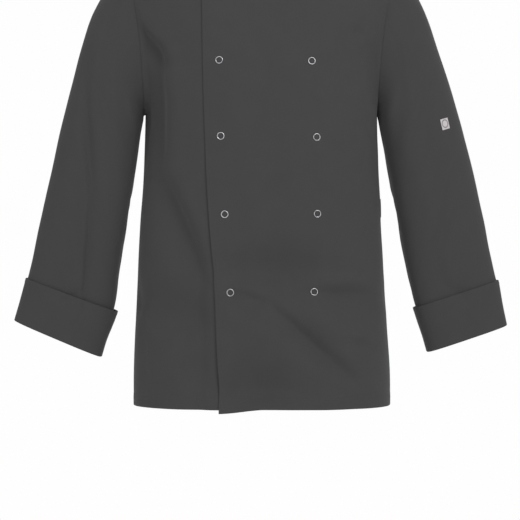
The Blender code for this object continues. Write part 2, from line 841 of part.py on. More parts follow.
def make_label():
    """Woven label, a patch of the left sleeve's surface moved out."""

    def surface(down, angle):
        return sleeve_point(1, down, angle)

    tilt = math.radians(LABEL_TILT)
    out = CLOTH / 2 + SEAM_GAP + TRIM_CLOTH / 2
    grid = []
    for up in (-0.5, 0.0, 0.5):
        row = []
        for across in (-0.5, 0.0, 0.5):
            dx, dz = across * LABEL_WIDTH, up * LABEL_HEIGHT
            x = LABEL_X + dx * math.cos(tilt) - dz * math.sin(tilt)
            z = LABEL_Z + dx * math.sin(tilt) + dz * math.cos(tilt)
            down, angle = find(surface, x, z, (150.0, 2.1), (20, 1.65), (520, 3.0))
            row.append(sleeve_out(down, angle, out))
        grid.append(row)
    sheet = Sheet("sleeve_label", grid, PALE_WEAVE, cloth=TRIM_CLOTH)
    toward = np.zeros_like(sheet.points)
    toward[..., 1] = -1.0
    return sheet.face_outward(toward)


def make_tag():
    """Dark tag at the left side seam, a patch of the left front moved out."""
    out = CLOTH / 2 + SEAM_GAP + TRIM_CLOTH / 2
    grid = []
    for z in (-456.0, -441.0, -426.0):
        v = (z - HEM_Z) / (PIT_Z - HEM_Z)
        row = []
        for c in (1.80, 1.86, 1.92, 1.98):
            row.append(lifted(over_front_point, c, v, lap_lift(c, v) + out)[0])
        grid.append(row)
    sheet = Sheet("side_tag", grid, TAG_WEAVE, cloth=TRIM_CLOTH)
    return sheet.face_outward(outward_of(grid))


def main():
    for obj in list(bpy.data.objects):
        bpy.data.objects.remove(obj)
    jacket = bpy.data.objects.new("jacket", None)
    bpy.context.scene.collection.objects.link(jacket)
    front_left = make_front_left()
    front_right = make_front_right()
    back = make_back()
    collar = make_collar(front_left, front_right, back)
    cloth = [front_left, front_right, back, collar]
    for side in (1, -1):
        cloth += [make_sleeve(side), make_cuff(side)]
    meet_at_seams(cloth)
    for sheet in cloth:
        sheet.pull_back()
    pieces = {s.name: s.build(jacket) for s in cloth + [make_label(), make_tag()]}
    bpy.context.view_layer.update()
    add_studs(jacket, pieces["front_left"])


main()
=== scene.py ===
"""Chef jacket in charcoal twill: fine cloth, stitching, studs, label and studio.

Sizes are millimetres until a mesh is made, which is in metres. +X is the
wearer's left, -Y the front and +Z up. The body's cloth is laid out on columns
c and heights v: c runs from -2 at the wearer's right side seam over -1 and +1
at the shoulder-neck points to +2 at the left side seam, and v from 0 at the
hem to 1 at the armpit and 2 at the top edge. A sleeve's cloth is laid out on
the distance down from the armhole and the angle round from its inner line.
"""

from __future__ import annotations

import logging
import math
from collections.abc import Sequence
from dataclasses import dataclass, field
from enum import Enum

import bmesh
import bpy
import numpy as np
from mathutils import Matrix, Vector

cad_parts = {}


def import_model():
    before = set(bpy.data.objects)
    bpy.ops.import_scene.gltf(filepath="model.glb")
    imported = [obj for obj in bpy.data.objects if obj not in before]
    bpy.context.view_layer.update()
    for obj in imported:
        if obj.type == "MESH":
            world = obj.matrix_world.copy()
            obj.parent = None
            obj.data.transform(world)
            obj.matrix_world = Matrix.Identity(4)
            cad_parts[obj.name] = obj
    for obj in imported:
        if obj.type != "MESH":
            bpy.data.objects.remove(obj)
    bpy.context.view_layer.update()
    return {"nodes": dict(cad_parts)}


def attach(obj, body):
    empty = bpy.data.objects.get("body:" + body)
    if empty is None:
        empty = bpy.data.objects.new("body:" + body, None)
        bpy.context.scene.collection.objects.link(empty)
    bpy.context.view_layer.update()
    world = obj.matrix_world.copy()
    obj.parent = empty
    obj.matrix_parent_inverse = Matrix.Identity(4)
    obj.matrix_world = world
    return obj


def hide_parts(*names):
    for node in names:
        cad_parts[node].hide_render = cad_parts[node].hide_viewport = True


MM = 0.001
LOG = logging.getLogger("chef_jacket")
# Slack for comparing columns, and for dividing by a distance that may be 0.
NEARLY = 1e-6
# A Wave Texture's scale times the width of its straight and diagonal bands.
BAND_SCALE = 0.3142
DIAGONAL_SCALE = 0.4443
Values = np.ndarray | float
Triple = tuple[float, float, float]


class Face(Enum):
    """Which half of the body a panel covers."""

    FRONT = -1
    BACK = 1


class Side(Enum):
    """The wearer's left or right."""

    LEFT = 1
    RIGHT = -1

    @property
    def word(self) -> str:
        """The side's name, as the pieces use it."""
        return self.name.lower()


class Edge(Enum):
    """A border of a cloth grid."""

    BOTTOM = "bottom"
    TOP = "top"
    START = "start"
    END = "end"


def mix(a: Values, b: Values, share: Values) -> Values:
    """Blend from a to b by a share from 0 to 1."""
    return a + (b - a) * share


def ease(value: Values) -> np.ndarray:
    """Smooth step from 0 to 1, flat outside."""
    held = np.clip(value, 0.0, 1.0)
    return held * held * (3 - 2 * held)


def unit(vectors: np.ndarray) -> np.ndarray:
    """Vectors of length 1 along the last axis."""
    return vectors / np.maximum(np.linalg.norm(vectors, axis=-1, keepdims=True), 1e-12)


def stacked(x: Values, y: Values, z: Values) -> np.ndarray:
    """Points from three arrays that broadcast together."""
    return np.stack(np.broadcast_arrays(x, y, z), axis=-1).astype(float)


def outward_of(points: np.ndarray) -> np.ndarray:
    """Directions away from the body's middle line."""
    return points * np.array((1.0, 1.0, 0.0))


def run_lengths(points: np.ndarray, axis: int = 0) -> np.ndarray:
    """Length run along lines of points.

    Args:
        points: a line or a grid of points.
        axis: the axis that the lines run along.

    Returns:
        The length up to each point, 0 at the first.
    """
    steps = np.linalg.norm(np.diff(points, axis=axis), axis=-1)
    start = np.zeros_like(steps.take([0], axis=axis))
    return np.concatenate([start, np.cumsum(steps, axis=axis)], axis=axis)


def grid_normals(points: np.ndarray, outward: np.ndarray, tube: bool = False) -> np.ndarray:
    """Directions straight out of a grid of points.

    Args:
        points: the grid, rows by columns.
        outward: rough outward direction at each point, which settles the side.
        tube: whether the rows close round.

    Returns:
        A direction of length 1 at each point.
    """
    if tube:
        along = np.roll(points, -1, axis=1) - np.roll(points, 1, axis=1)
    else:
        along = np.gradient(points, axis=1)
    normals = unit(np.cross(along, np.gradient(points, axis=0)))
    return -normals if float((normals * outward).sum()) < 0 else normals


@dataclass(frozen=True)
class Curve:
    """A smooth curve through a table's keys and one of its columns."""

    keys: tuple[float, ...]
    values: tuple[float, ...]

    def at(self, where: Values) -> np.ndarray:
        """Read the curve.

        Args:
            where: keys to read it at.

        Returns:
            The value at each key, held constant past the ends.
        """
        keys, values = np.array(self.keys, float), np.array(self.values, float)
        if keys[0] > keys[-1]:
            keys, values = keys[::-1], values[::-1]
        slopes = np.empty_like(values)
        slopes[1:-1] = (values[2:] - values[:-2]) / (keys[2:] - keys[:-2])
        slopes[0] = (values[1] - values[0]) / (keys[1] - keys[0])
        slopes[-1] = (values[-1] - values[-2]) / (keys[-1] - keys[-2])
        held = np.clip(where, keys[0], keys[-1])
        i = np.clip(np.searchsorted(keys, held) - 1, 0, len(keys) - 2)
        span = keys[i + 1] - keys[i]
        t = (held - keys[i]) / span
        start = (1 + 2 * t) * values[i] + t * span * slopes[i]
        end = (3 - 2 * t) * values[i + 1] + (t - 1) * span * slopes[i + 1]
        return start * (1 - t) ** 2 + end * t * t


def table(names: str, rows: Sequence[Sequence[float]]) -> dict[str, Curve]:
    """Curves of a table's columns, all read by its first column.

    Args:
        names: the column names, parted by spaces.
        rows: the table's rows.

    Returns:
        One curve for each column.
    """
    columns = tuple(zip(*rows))
    return {name: Curve(columns[0], column) for name, column in zip(names.split(), columns)}


BODY_TABLE = table(
    "z right_x left_x front back",
    [
        (-785, 212.6, 215.8, 136, 118),
        (-712, 212.8, 215.6, 137, 116),
        (-637, 210.0, 210.4, 136, 113),
        (-556, 206.3, 205.6, 134, 110),
        (-480, 202.4, 201.0, 134, 111),
        (-393, 196.8, 197.0, 137, 116),
        (-330, 194.6, 194.8, 139, 120),
        (-284, 193.5, 192.5, 140, 122),
    ],
)
LAP_TABLE = table(
    "z free_x under_x",
    [
        (-785, 67.0, 131),
        (-592, 73.6, 131),
        (-431, 85.0, 131),
        (-270, 91.7, 129),
        (-107, 96.0, 114),
        (-45, 96.0, 98),
        (0, 80.0, 80),
    ],
)
ARMHOLE_TABLE = table(
    "z right_x left_x",
    [
        (-284, 193.5, 192.5),
        (-240, 195.0, 194.5),
        (-166, 200.0, 200.0),
        (-91, 213.0, 213.0),
        (-45, 234.0, 234.0),
    ],
)
RING_FIELDS = "out_x out_z in_x in_z front back"
SLEEVE_ROWS = {
    Side.LEFT: [
        (234.0, -45, 192.5, -284.0, 68, 72),
        (243.0, -55, 195.0, -284.6, 69, 72),
        (254.0, -73, 196.6, -287.0, 70, 72),
        (266.0, -96, 198.2, -293.0, 71, 72),
        (278.5, -128, 200.2, -303.0, 72, 72),
        (293.0, -172, 203.2, -318.0, 72, 72),
        (308.0, -216, 207.0, -338.0, 71, 71),
        (322.0, -262, 211.5, -366.0, 69, 69),
        (336.0, -309, 217.5, -398.0, 66, 66),
        (350.0, -362, 224.3, -437.0, 61, 61),
        (362.0, -415, 231.8, -478.0, 55, 55),
        (373.0, -465, 240.2, -519.0, 49, 49),
        (383.5, -515, 249.5, -561.0, 43, 43),
        (393.0, -558, 259.0, -602.0, 38, 38),
        (409.6, -637, 281.4, -680.5, 32, 32),
    ],
    Side.RIGHT: [
        (234.0, -45, 193.5, -284.0, 68, 72),
        (246.0, -56, 196.6, -284.2, 69, 72),
        (259.0, -74, 198.4, -286.6, 70, 72),
        (271.0, -96, 199.2, -293.0, 71, 72),
        (283.0, -123, 201.2, -303.0, 72, 72),
        (296.0, -163, 204.0, -318.0, 72, 72),
        (310.0, -213, 207.0, -339.0, 71, 71),
        (323.0, -262, 210.5, -368.0, 69, 69),
        (334.0, -308, 215.0, -400.0, 66, 66),
        (345.0, -357, 220.5, -437.0, 61, 61),
        (356.0, -405, 226.5, -474.0, 55, 55),
        (367.5, -457, 233.5, -513.0, 49, 49),
        (379.0, -508, 240.3, -557.0, 43, 43),
        (389.5, -554, 247.0, -606.0, 38, 38),
        (411.0, -629, 270.5, -688.5, 32, 32),
    ],
}


@dataclass(frozen=True)
class Crease:
    """A soft trough along a line on flat axes; a negative depth is a ridge.

    A lean makes one of its sides steeper than the other. It is narrower and
    shallower at its ends, down to the shares end_width and end_depth.
    """

    start: tuple[float, float]
    end: tuple[float, float]
    width: float
    depth: float
    lean: float = 0.0
    end_width: float = 0.75
    end_depth: float = 0.45

    def pull(self, a: np.ndarray, b: np.ndarray) -> np.ndarray:
        """How far the crease draws the cloth in.

        Args:
            a: first coordinate of each place.
            b: second coordinate of each place.

        Returns:
            The depth at each place, in millimetres.
        """
        run_a, run_b = self.end[0] - self.start[0], self.end[1] - self.start[1]
        length = math.hypot(run_a, run_b)
        off_a, off_b = a - self.start[0], b - self.start[1]
        share = np.clip((off_a * run_a + off_b * run_b) / length**2, 0, 1)
        off_a, off_b = off_a - run_a * share, off_b - run_b * share
        across = (off_a * run_b - off_b * run_a) / length
        swell = np.sin(math.pi * share)
        width = self.width * (self.end_width + (1 - self.end_width) * swell)
        off = np.hypot(off_a, off_b)
        away = off / width / (1 + self.lean * across / np.maximum(off, NEARLY))
        strength = self.end_depth + (1 - self.end_depth) * swell
        return self.depth * strength * np.exp(-(away**2))


FRONT_CREASES = [
    Crease((-200, -122), (-144, -192), 14, -2.4, -0.3),
    Crease((-208, -140), (-158, -206), 14, 9.0, 0.45),
    Crease((-144, -190), (-141, -366), 18, -3.0, -0.2),
    Crease((-172, -196), (-169, -378), 26, 15.0, 0.4),
    Crease((-136, -388), (-68, -534), 17, -3.6, -0.2),
    Crease((-160, -404), (-92, -560), 24, 16.0, 0.4),
    Crease((-104, -540), (-98, -770), 22, 11.0, 0.35),
    Crease((-196, -604), (-100, -628), 42, 20.0, -0.3),
    Crease((-194, -640), (-190, -752), 12, 4.0, 0.3),
    Crease((-46, -580), (12, -598), 18, 12.0, 0.4),
    Crease((28, -611), (152, -719), 18, 16.0, 0.4),
    Crease((32, -568), (156, -684), 14, -5.4, -0.3),
    Crease((60, -582), (194, -584), 20, 13.0, 0.3),
    Crease((62, -558), (190, -560), 14, -4.4, 0.3),
    Crease((128, -659), (178, -665), 12, 6.5, 0.3),
    Crease((-48, -544), (104, -554), 40, 25.0, -0.2),
    Crease((-62, -732), (50, -738), 40, 25.0, -0.25),
    Crease((-20, -634), (24, -646), 22, -3.6),
    Crease((180, -330), (184, -436), 13, 5.0, 0.4),
    Crease((191, -145), (183, -268), 13, 7.0, 0.4),
    Crease((162, -146), (150, -168), 12, 6.0),
    Crease((150, -180), (112, -300), 24, 4.6),
    Crease((-10, -190), (8, -330), 34, 4.0),
    Crease((40, -395), (10, -440), 20, 4.6),
    Crease((150, -420), (128, -545), 22, 5.4, 0.2),
    Crease((110, -704), (150, -760), 16, 5.0),
]
BACK_CREASES = [
    Crease((-184, -165), (-118, -335), 24, 12.2, 0.3),
    Crease((184, -155), (128, -312), 24, 10.9, -0.3),
    Crease((-120, -330), (-96, -480), 26, 6.5),
    Crease((132, -310), (104, -450), 24, 6.0),
    Crease((-156, -470), (-38, -540), 20, 9.9, 0.3),
    Crease((150, -452), (48, -522), 19, 8.8, -0.3),
    Crease((-40, -538), (52, -556), 16, 6.5),
    Crease((-110, -600), (-160, -745), 22, 5.4),
    Crease((10, -560), (-8, -742), 26, 7.3, 0.2),
    Crease((90, -560), (132, -742), 24, 6.5, 0.2),
    Crease((-60, -80), (-20, -200), 24, 4.4),
    Crease((60, -84), (28, -190), 22, 3.9),
]
SLEEVE_CREASES = {
    Side.LEFT: [
        Crease((150, 40), (420, 62), 26, 3.2, 0.3),
        Crease((60, 66), (150, 40), 18, 3.5),
        Crease((250, 110), (320, 70), 14, 2.3, 0.3),
        Crease((420, 70), (458, 118), 12, 2.6),
        Crease((190, 250), (330, 292), 24, 5.2, 0.3),
        Crease((250, 222), (300, 285), 14, 4.1, -0.3),
        Crease((285, 215), (345, 262), 13, 3.5, 0.3),
        Crease((40, 236), (120, 262), 22, 4.1),
        Crease((400, 250), (450, 300), 13, 2.6),
        Crease((230, 350), (300, 318), 14, 4.3),
        Crease((262, 356), (330, 322), 12, 3.5),
    ],
    Side.RIGHT: [
        Crease((92, 138), (254, 85), 9, 8.0, 0.35),
        Crease((266, 82), (452, 50), 9, 7.4, 0.35),
        Crease((110, 110), (300, 58), 24, 4.0),
        Crease((120, 118), (250, 66), 13, -1.9),
        Crease((30, 129), (78, 108), 11, 4.3, 0.3),
        Crease((50, 60), (140, 42), 18, 3.8),
        Crease((330, 108), (420, 92), 15, 2.3, 0.3),
        Crease((424, 60), (462, 110), 11, 3.2),
        Crease((436, 108), (470, 140), 10, 2.0),
        Crease((200, 246), (340, 286), 24, 5.2, 0.3),
        Crease((246, 218), (300, 276), 14, 4.1, -0.3),
        Crease((290, 212), (350, 258), 13, 3.5, 0.3),
        Crease((36, 240), (110, 264), 22, 4.1),
        Crease((224, 352), (296, 320), 14, 4.3),
        Crease((258, 356), (326, 324), 12, 3.2),
    ],
}


# Each wave's turning for each millimetre along a and b, its phase and its share.
RIPPLE_WAVES = (
    (0.041, 0.017, 0.3, 0.40),
    (-0.023, 0.052, 1.7, 0.34),
    (0.067, -0.038, 2.9, 0.22),
    (0.013, 0.083, 4.1, 0.20),
    (0.097, 0.061, 5.3, 0.12),
    (-0.121, 0.047, 0.9, 0.09),
)
# How far the waves drift, and how fast along a and b.
RIPPLE_DRIFT = (0.8, 0.6, 0.7)


def ripple(a: np.ndarray, b: np.ndarray, height: float) -> np.ndarray:
    """Slight unevenness of worn cloth, as a sum of waves that drift.

    Args:
        a: first coordinate of each place, in millimetres.
        b: second coordinate of each place, in millimetres.
        height: rough size of the unevenness.

    Returns:
        A height at each place.
    """
    total = np.zeros(np.broadcast(a, b).shape)
    size, drift_a, drift_b = RIPPLE_DRIFT
    for per_a, per_b, phase, share in RIPPLE_WAVES:
        drift = size * np.sin(per_b * a * drift_a - per_a * b * drift_b + phase)
        total = total + share * np.sin(per_a * a + per_b * b + phase + drift)
    return total * height


def oval(angle: np.ndarray, half_width: Values, depth: Values,
         power: float) -> tuple[np.ndarray, np.ndarray]:
    """Point of a rounded section.

    Args:
        angle: angle from straight outward.
        half_width: half the section's width.
        depth: how far the section reaches outward.
        power: 2 for an ellipse, more for a squarer section.

    Returns:
        The sideways and the outward part.
    """
    across = np.abs(np.sin(angle)) / half_width
    along = np.abs(np.cos(angle)) / depth
    radius = (across**power + along**power) ** (-1 / power)
    return radius * np.sin(angle), radius * np.cos(angle)


@dataclass(frozen=True)
class BodyForm:
    """The filled-out body of the jacket, as one surface for each face.

    A pair holds the front's value and the back's. A curve is the power that
    bends a line. Settle is the power by which the cloth comes in to the top
    edge, beside the armhole and over the middle. The steps and weights of the
    smoothing run along a column, and round off the change at the armpits.
    """

    hem_z: float = -769.0
    pit_z: float = -284.0
    power: float = 2.45
    back_column_x: float = 90.0
    neck_half: float = 80.0
    neck_reach: tuple[float, float] = (-75.0, 62.0)
    neck_drop: tuple[float, float] = (75.0, 18.0)
    neck_curve: float = 1.5
    shoulder: Triple = (234.0, 5.0, -45.0)
    shoulder_curve: float = 1.08
    armhole_reach: tuple[float, float] = (-68.0, 72.0)
    armhole_curve: float = 0.92
    settle: tuple[float, float] = (3.4, 4.0)
    settle_middle: tuple[float, float] = (2.4, 3.2)
    top_power: float = 1.15
    top_power_by: float = 0.4
    ripple_height: float = 0.75
    hem_wave: float = 1.6
    hem_wave_step: float = 31.0
    hem_wave_phase: float = 0.7
    hem_wave_rise: float = 0.25
    seam_fade: float = 0.16
    smooth_reach: float = 0.07
    smooth_side: float = 0.3
    smooth_rise: float = 0.28
    smoothing: tuple[tuple[float, float], ...] = (
        (-1.5, 0.1), (-0.9, 0.15), (-0.4, 0.17), (0.0, 0.16), (0.4, 0.17), (0.9, 0.15), (1.5, 0.1))

    @staticmethod
    def _pick(pair: tuple[float, float], face: Face) -> float:
        """The value of a front and back pair for a face."""
        return pair[0] if face is Face.FRONT else pair[1]

    def guide(self, c: np.ndarray, z: np.ndarray, face: Face) -> np.ndarray:
        """Distance from the middle of the columns c = -1 and +1.

        Args:
            c: columns, of which only the sign counts.
            z: heights in millimetres.
            face: front or back.

        Returns:
            A distance for each pair of c and z.
        """
        if face is Face.BACK:
            rise = ease((z - self.pit_z) / -self.pit_z)
            return mix(self.back_column_x, self.neck_half, rise)
        free, under = LAP_TABLE["free_x"].at(z), LAP_TABLE["under_x"].at(z)
        return np.where(c < 0, free, under)

    def low(self, c: np.ndarray, z: np.ndarray, face: Face) -> np.ndarray:
        """Points of the body below the armpits.

        Args:
            c: columns.
            z: heights in millimetres.
            face: front or back.

        Returns:
            A point for each pair of c and z.
        """
        power = self.power
        half = np.where(c < 0, BODY_TABLE["right_x"].at(z), BODY_TABLE["left_x"].at(z))
        depth = BODY_TABLE[face.name.lower()].at(z)
        line = self.guide(c, z, face)
        rest = depth * (1 - (line / half) ** power) ** (1 / power)
        near_x = line * np.minimum(np.abs(c), 1.0)
        near_y = depth * (1 - (near_x / half) ** power) ** (1 / power)
        turn = mix(np.arctan2(line, rest), math.pi / 2, np.clip(np.abs(c) - 1, 0, 1))
        far_x, far_y = oval(turn, half, depth, power)
        inner = np.abs(c) <= 1
        x = np.where(inner, near_x, far_x) * np.where(c < 0, -1, 1)
        return stacked(x, face.value * np.where(inner, near_y, far_y), z)

    def top(self, c: np.ndarray, face: Face) -> np.ndarray:
        """Points of the neckline, and of the shoulder seam beyond it.

        Args:
            c: columns.
            face: front or back.

        Returns:
            A point for each column.
        """
        out = np.clip(np.abs(c) - 1, 0, 1)
        sign = np.where(c < 0, -1, 1)
        turn = np.clip(c, -1, 1) * math.pi / 2
        cosine = np.maximum(np.cos(turn), 0.0)
        reach, drop = self._pick(self.neck_reach, face), self._pick(self.neck_drop, face)
        inner = np.abs(c) <= 1
        end_x, end_y, end_z = self.shoulder
        x = np.where(inner, self.neck_half * np.sin(turn), sign * mix(self.neck_half, end_x, out))
        y = np.where(inner, reach * cosine, end_y * out)
        z = np.where(inner, -drop * cosine**self.neck_curve, end_z * out**self.shoulder_curve)
        return stacked(x, y, z)

    def armhole(self, sign: np.ndarray, t: np.ndarray, face: Face) -> np.ndarray:
        """Points of the armhole seam.

        Args:
            sign: -1 for the wearer's right armhole and 1 for the left.
            t: 0 at the armpit and 1 at the shoulder.
            face: front or back.

        Returns:
            A point for each pair of sign and t.
        """
        middle, half = (self.shoulder[2] + self.pit_z) / 2, (self.shoulder[2] - self.pit_z) / 2
        z = middle - half * np.cos(math.pi * t)
        right, left = ARMHOLE_TABLE["right_x"].at(z), ARMHOLE_TABLE["left_x"].at(z)
        bow = np.maximum(np.sin(math.pi * t), 0.0) ** self.armhole_curve
        y = self._pick(self.armhole_reach, face) * bow + self.shoulder[1] * t
        return stacked(sign * np.where(sign < 0, right, left), y, z)

    def high(self, c: np.ndarray, t: np.ndarray, face: Face) -> np.ndarray:
        """Points of the body above the armpits.

        Args:
            c: columns.
            t: 0 at the armpits and 1 at the top edge.
            face: front or back.

        Returns:
            A point for each pair of c and t.
        """
        sign = np.where(c < 0, -1.0, 1.0)
        seam, top = self.armhole(sign, t, face), self.top(c, face)
        pit = np.full_like(t, self.pit_z)
        low = self.low(c, pit, face)
        swing = (1 - np.cos(math.pi * t)) / 2
        rise = mix(t, swing, (c / 2) ** 2)
        z = mix(low[..., 2], top[..., 2], rise)
        guide_rise = mix(t, swing, (sign / 2) ** 2)
        guide = sign * self.guide(sign, mix(self.pit_z, 0.0, guide_rise), face)
        guide -= mix(sign * self.guide(sign, pit, face), sign * self.neck_half, guide_rise)
        corner = self.low(2 * sign, pit, face)[..., 0]
        seam_x = seam[..., 0] - mix(corner, sign * self.shoulder[0], swing)
        x = mix(low[..., 0], top[..., 0], rise)
        x = x + guide * np.cos(math.pi / 2 * (np.abs(c) - 1)) ** 2 + seam_x * (c / 2) ** 4
        depth = float(BODY_TABLE[face.name.lower()].at(self.pit_z))
        settle = self._pick(self.settle, face)
        side_pull = np.minimum(t, 0.9999) ** settle
        edge = (seam[..., 1] - side_pull * self.shoulder[1]) / (1 - side_pull) * face.value
        across = np.clip(np.abs(x / seam[..., 0]), 0, 1)
        flat = mix(self.power, self.top_power, ease(t / self.top_power_by))
        bow = np.maximum(1 - across**self.power, 0.0) ** (1 / flat)
        middle = self._pick(self.settle_middle, face)
        pull = t ** mix(middle, settle, np.minimum(np.abs(c), 1.0))
        y = mix(face.value * mix(edge, depth, bow), top[..., 1], pull)
        points = stacked(x, y, z)
        points = np.where((np.abs(c) >= 2 - 1e-9)[..., None], seam, points)
        return np.where((t >= 1 - 1e-9)[..., None], top, points)

    def cloth(self, c: np.ndarray, v: np.ndarray, face: Face) -> np.ndarray:
        """Points of the body's cloth, with its creases.

        Args:
            c: columns.
            v: heights.
            face: front or back.

        Returns:
            A point for each pair of c and v.
        """
        c, v = np.broadcast_arrays(np.asarray(c, float), np.asarray(v, float))
        reach = self.smooth_reach * ease((2 - np.abs(c)) / self.smooth_side)
        reach = reach * (1 - ease(np.abs(v - 1) / self.smooth_rise))
        points = np.zeros(v.shape + (3,))
        for step, weight in self.smoothing:
            near = v + reach * step
            low = self.low(c, mix(self.hem_z, self.pit_z, np.clip(near, 0, 1)), face)
            high = self.high(c, np.clip(near - 1, 0, 1), face)
            points += weight * np.where((near <= 1)[..., None], low, high)
        x, z = points[..., 0], points[..., 2]
        fade = ease((2 - np.abs(c)) / self.seam_fade) * ease((2 - v) / self.seam_fade)
        depth = -ripple(x, z, self.ripple_height)
        for crease in FRONT_CREASES if face is Face.FRONT else BACK_CREASES:
            depth = depth + crease.pull(x, z)
        wave = self.hem_wave * np.sin(x / self.hem_wave_step + self.hem_wave_phase)
        depth = depth + wave * ease(1 - v / self.hem_wave_rise)
        normals = grid_normals(points, outward_of(points))
        return points - normals * (fade * depth)[..., None]


@dataclass(frozen=True)
class SleeveForm:
    """A filled-out sleeve, hung from its armhole.

    Its creases and ripples fade out near the armhole and near the mouth.
    """

    side: Side
    body: BodyForm
    power: float = 3.0
    seam_blend: float = 70.0
    ripple_height: float = 0.7
    ripple_apart: float = 400.0
    ripple_round: float = 1.2
    fade_top: float = 30.0
    fade_mouth: float = 40.0

    @property
    def downs(self) -> np.ndarray:
        """Distance of each ring of the table down the sleeve's middle line."""
        rows = np.array(SLEEVE_ROWS[self.side], float)
        return run_lengths((rows[:, 0:2] + rows[:, 2:4]) / 2)

    def ring(self, down: np.ndarray) -> dict[str, np.ndarray]:
        """The table's columns at distances down the sleeve."""
        columns = zip(RING_FIELDS.split(), zip(*SLEEVE_ROWS[self.side]))
        return {name: Curve(tuple(self.downs), values).at(down) for name, values in columns}

    def section(self, ring: dict[str, np.ndarray], angle: np.ndarray,
                out: Values = 0.0) -> tuple[np.ndarray, np.ndarray]:
        """Points round the sleeve's section.

        Args:
            ring: the table's columns at each point.
            angle: angle round it, 0 at the inner line and pi at the outer.
            out: distance out from the section.

        Returns:
            The points, and the section's middle at each.
        """
        sign = self.side.value
        outer = stacked(sign * ring["out_x"], 0.0, ring["out_z"])
        inner = stacked(sign * ring["in_x"], 0.0, ring["in_z"])
        middle, half = (outer + inner) / 2, np.linalg.norm(outer - inner, axis=-1) / 2
        depth = np.where(np.sin(angle) >= -1e-12, ring["front"], ring["back"])
        along, outward = oval(angle - math.pi / 2, half + out, depth + out, self.power)
        points = middle + unit(outer - inner) * along[..., None]
        points[..., 1] = -outward
        return points, middle

    def seam(self, angle: np.ndarray) -> np.ndarray:
        """Points of the body's armhole seam.

        Args:
            angle: angle round the sleeve.

        Returns:
            A point for each angle.
        """
        sign = np.full_like(angle, float(self.side.value))
        front = np.sin(angle) >= -1e-12
        share = np.where(front, angle / math.pi, 2 - angle / math.pi)
        faces = [self.body.armhole(sign, share, face) for face in (Face.FRONT, Face.BACK)]
        return np.where(front[..., None], *faces)

    def point(
        self,
        down: np.ndarray,
        angle: np.ndarray,
        out: Values = 0.0,
        flare: tuple[Values, Values] = (0.0, 0.0),
    ) -> np.ndarray:
        """Points of the sleeve's cloth.

        Args:
            down: distance down the sleeve.
            angle: angle round it, 0 at the inner line and pi at the outer.
            out: distance out from the sleeve's own cloth.
            flare: more distance out, at the outer and the inner line.

        Returns:
            A point for each pair of down and angle.
        """
        down, angle = np.broadcast_arrays(np.asarray(down, float), np.asarray(angle, float))
        out = out + mix(flare[1], flare[0], (1 - np.cos(angle)) / 2)
        points, middle = self.section(self.ring(down), angle, out)
        start, _ = self.section(self.ring(np.zeros_like(down)), angle)
        settle = 1 - ease(down / self.seam_blend)
        points = points + (self.seam(angle) - start) * settle[..., None]
        degrees = np.degrees(angle)
        apart = self.ripple_apart * self.side.value
        pulled = -ripple(down + apart, degrees * self.ripple_round, self.ripple_height)
        for crease in SLEEVE_CREASES[self.side]:
            for turn in (-360, 0, 360):
                pulled = pulled + crease.pull(down, degrees + turn)
        left = self.downs[-1] - down - self.fade_mouth
        fade = ease(down / self.fade_top) * ease(left / self.fade_mouth)
        return points + unit(middle - points) * (pulled * fade)[..., None]


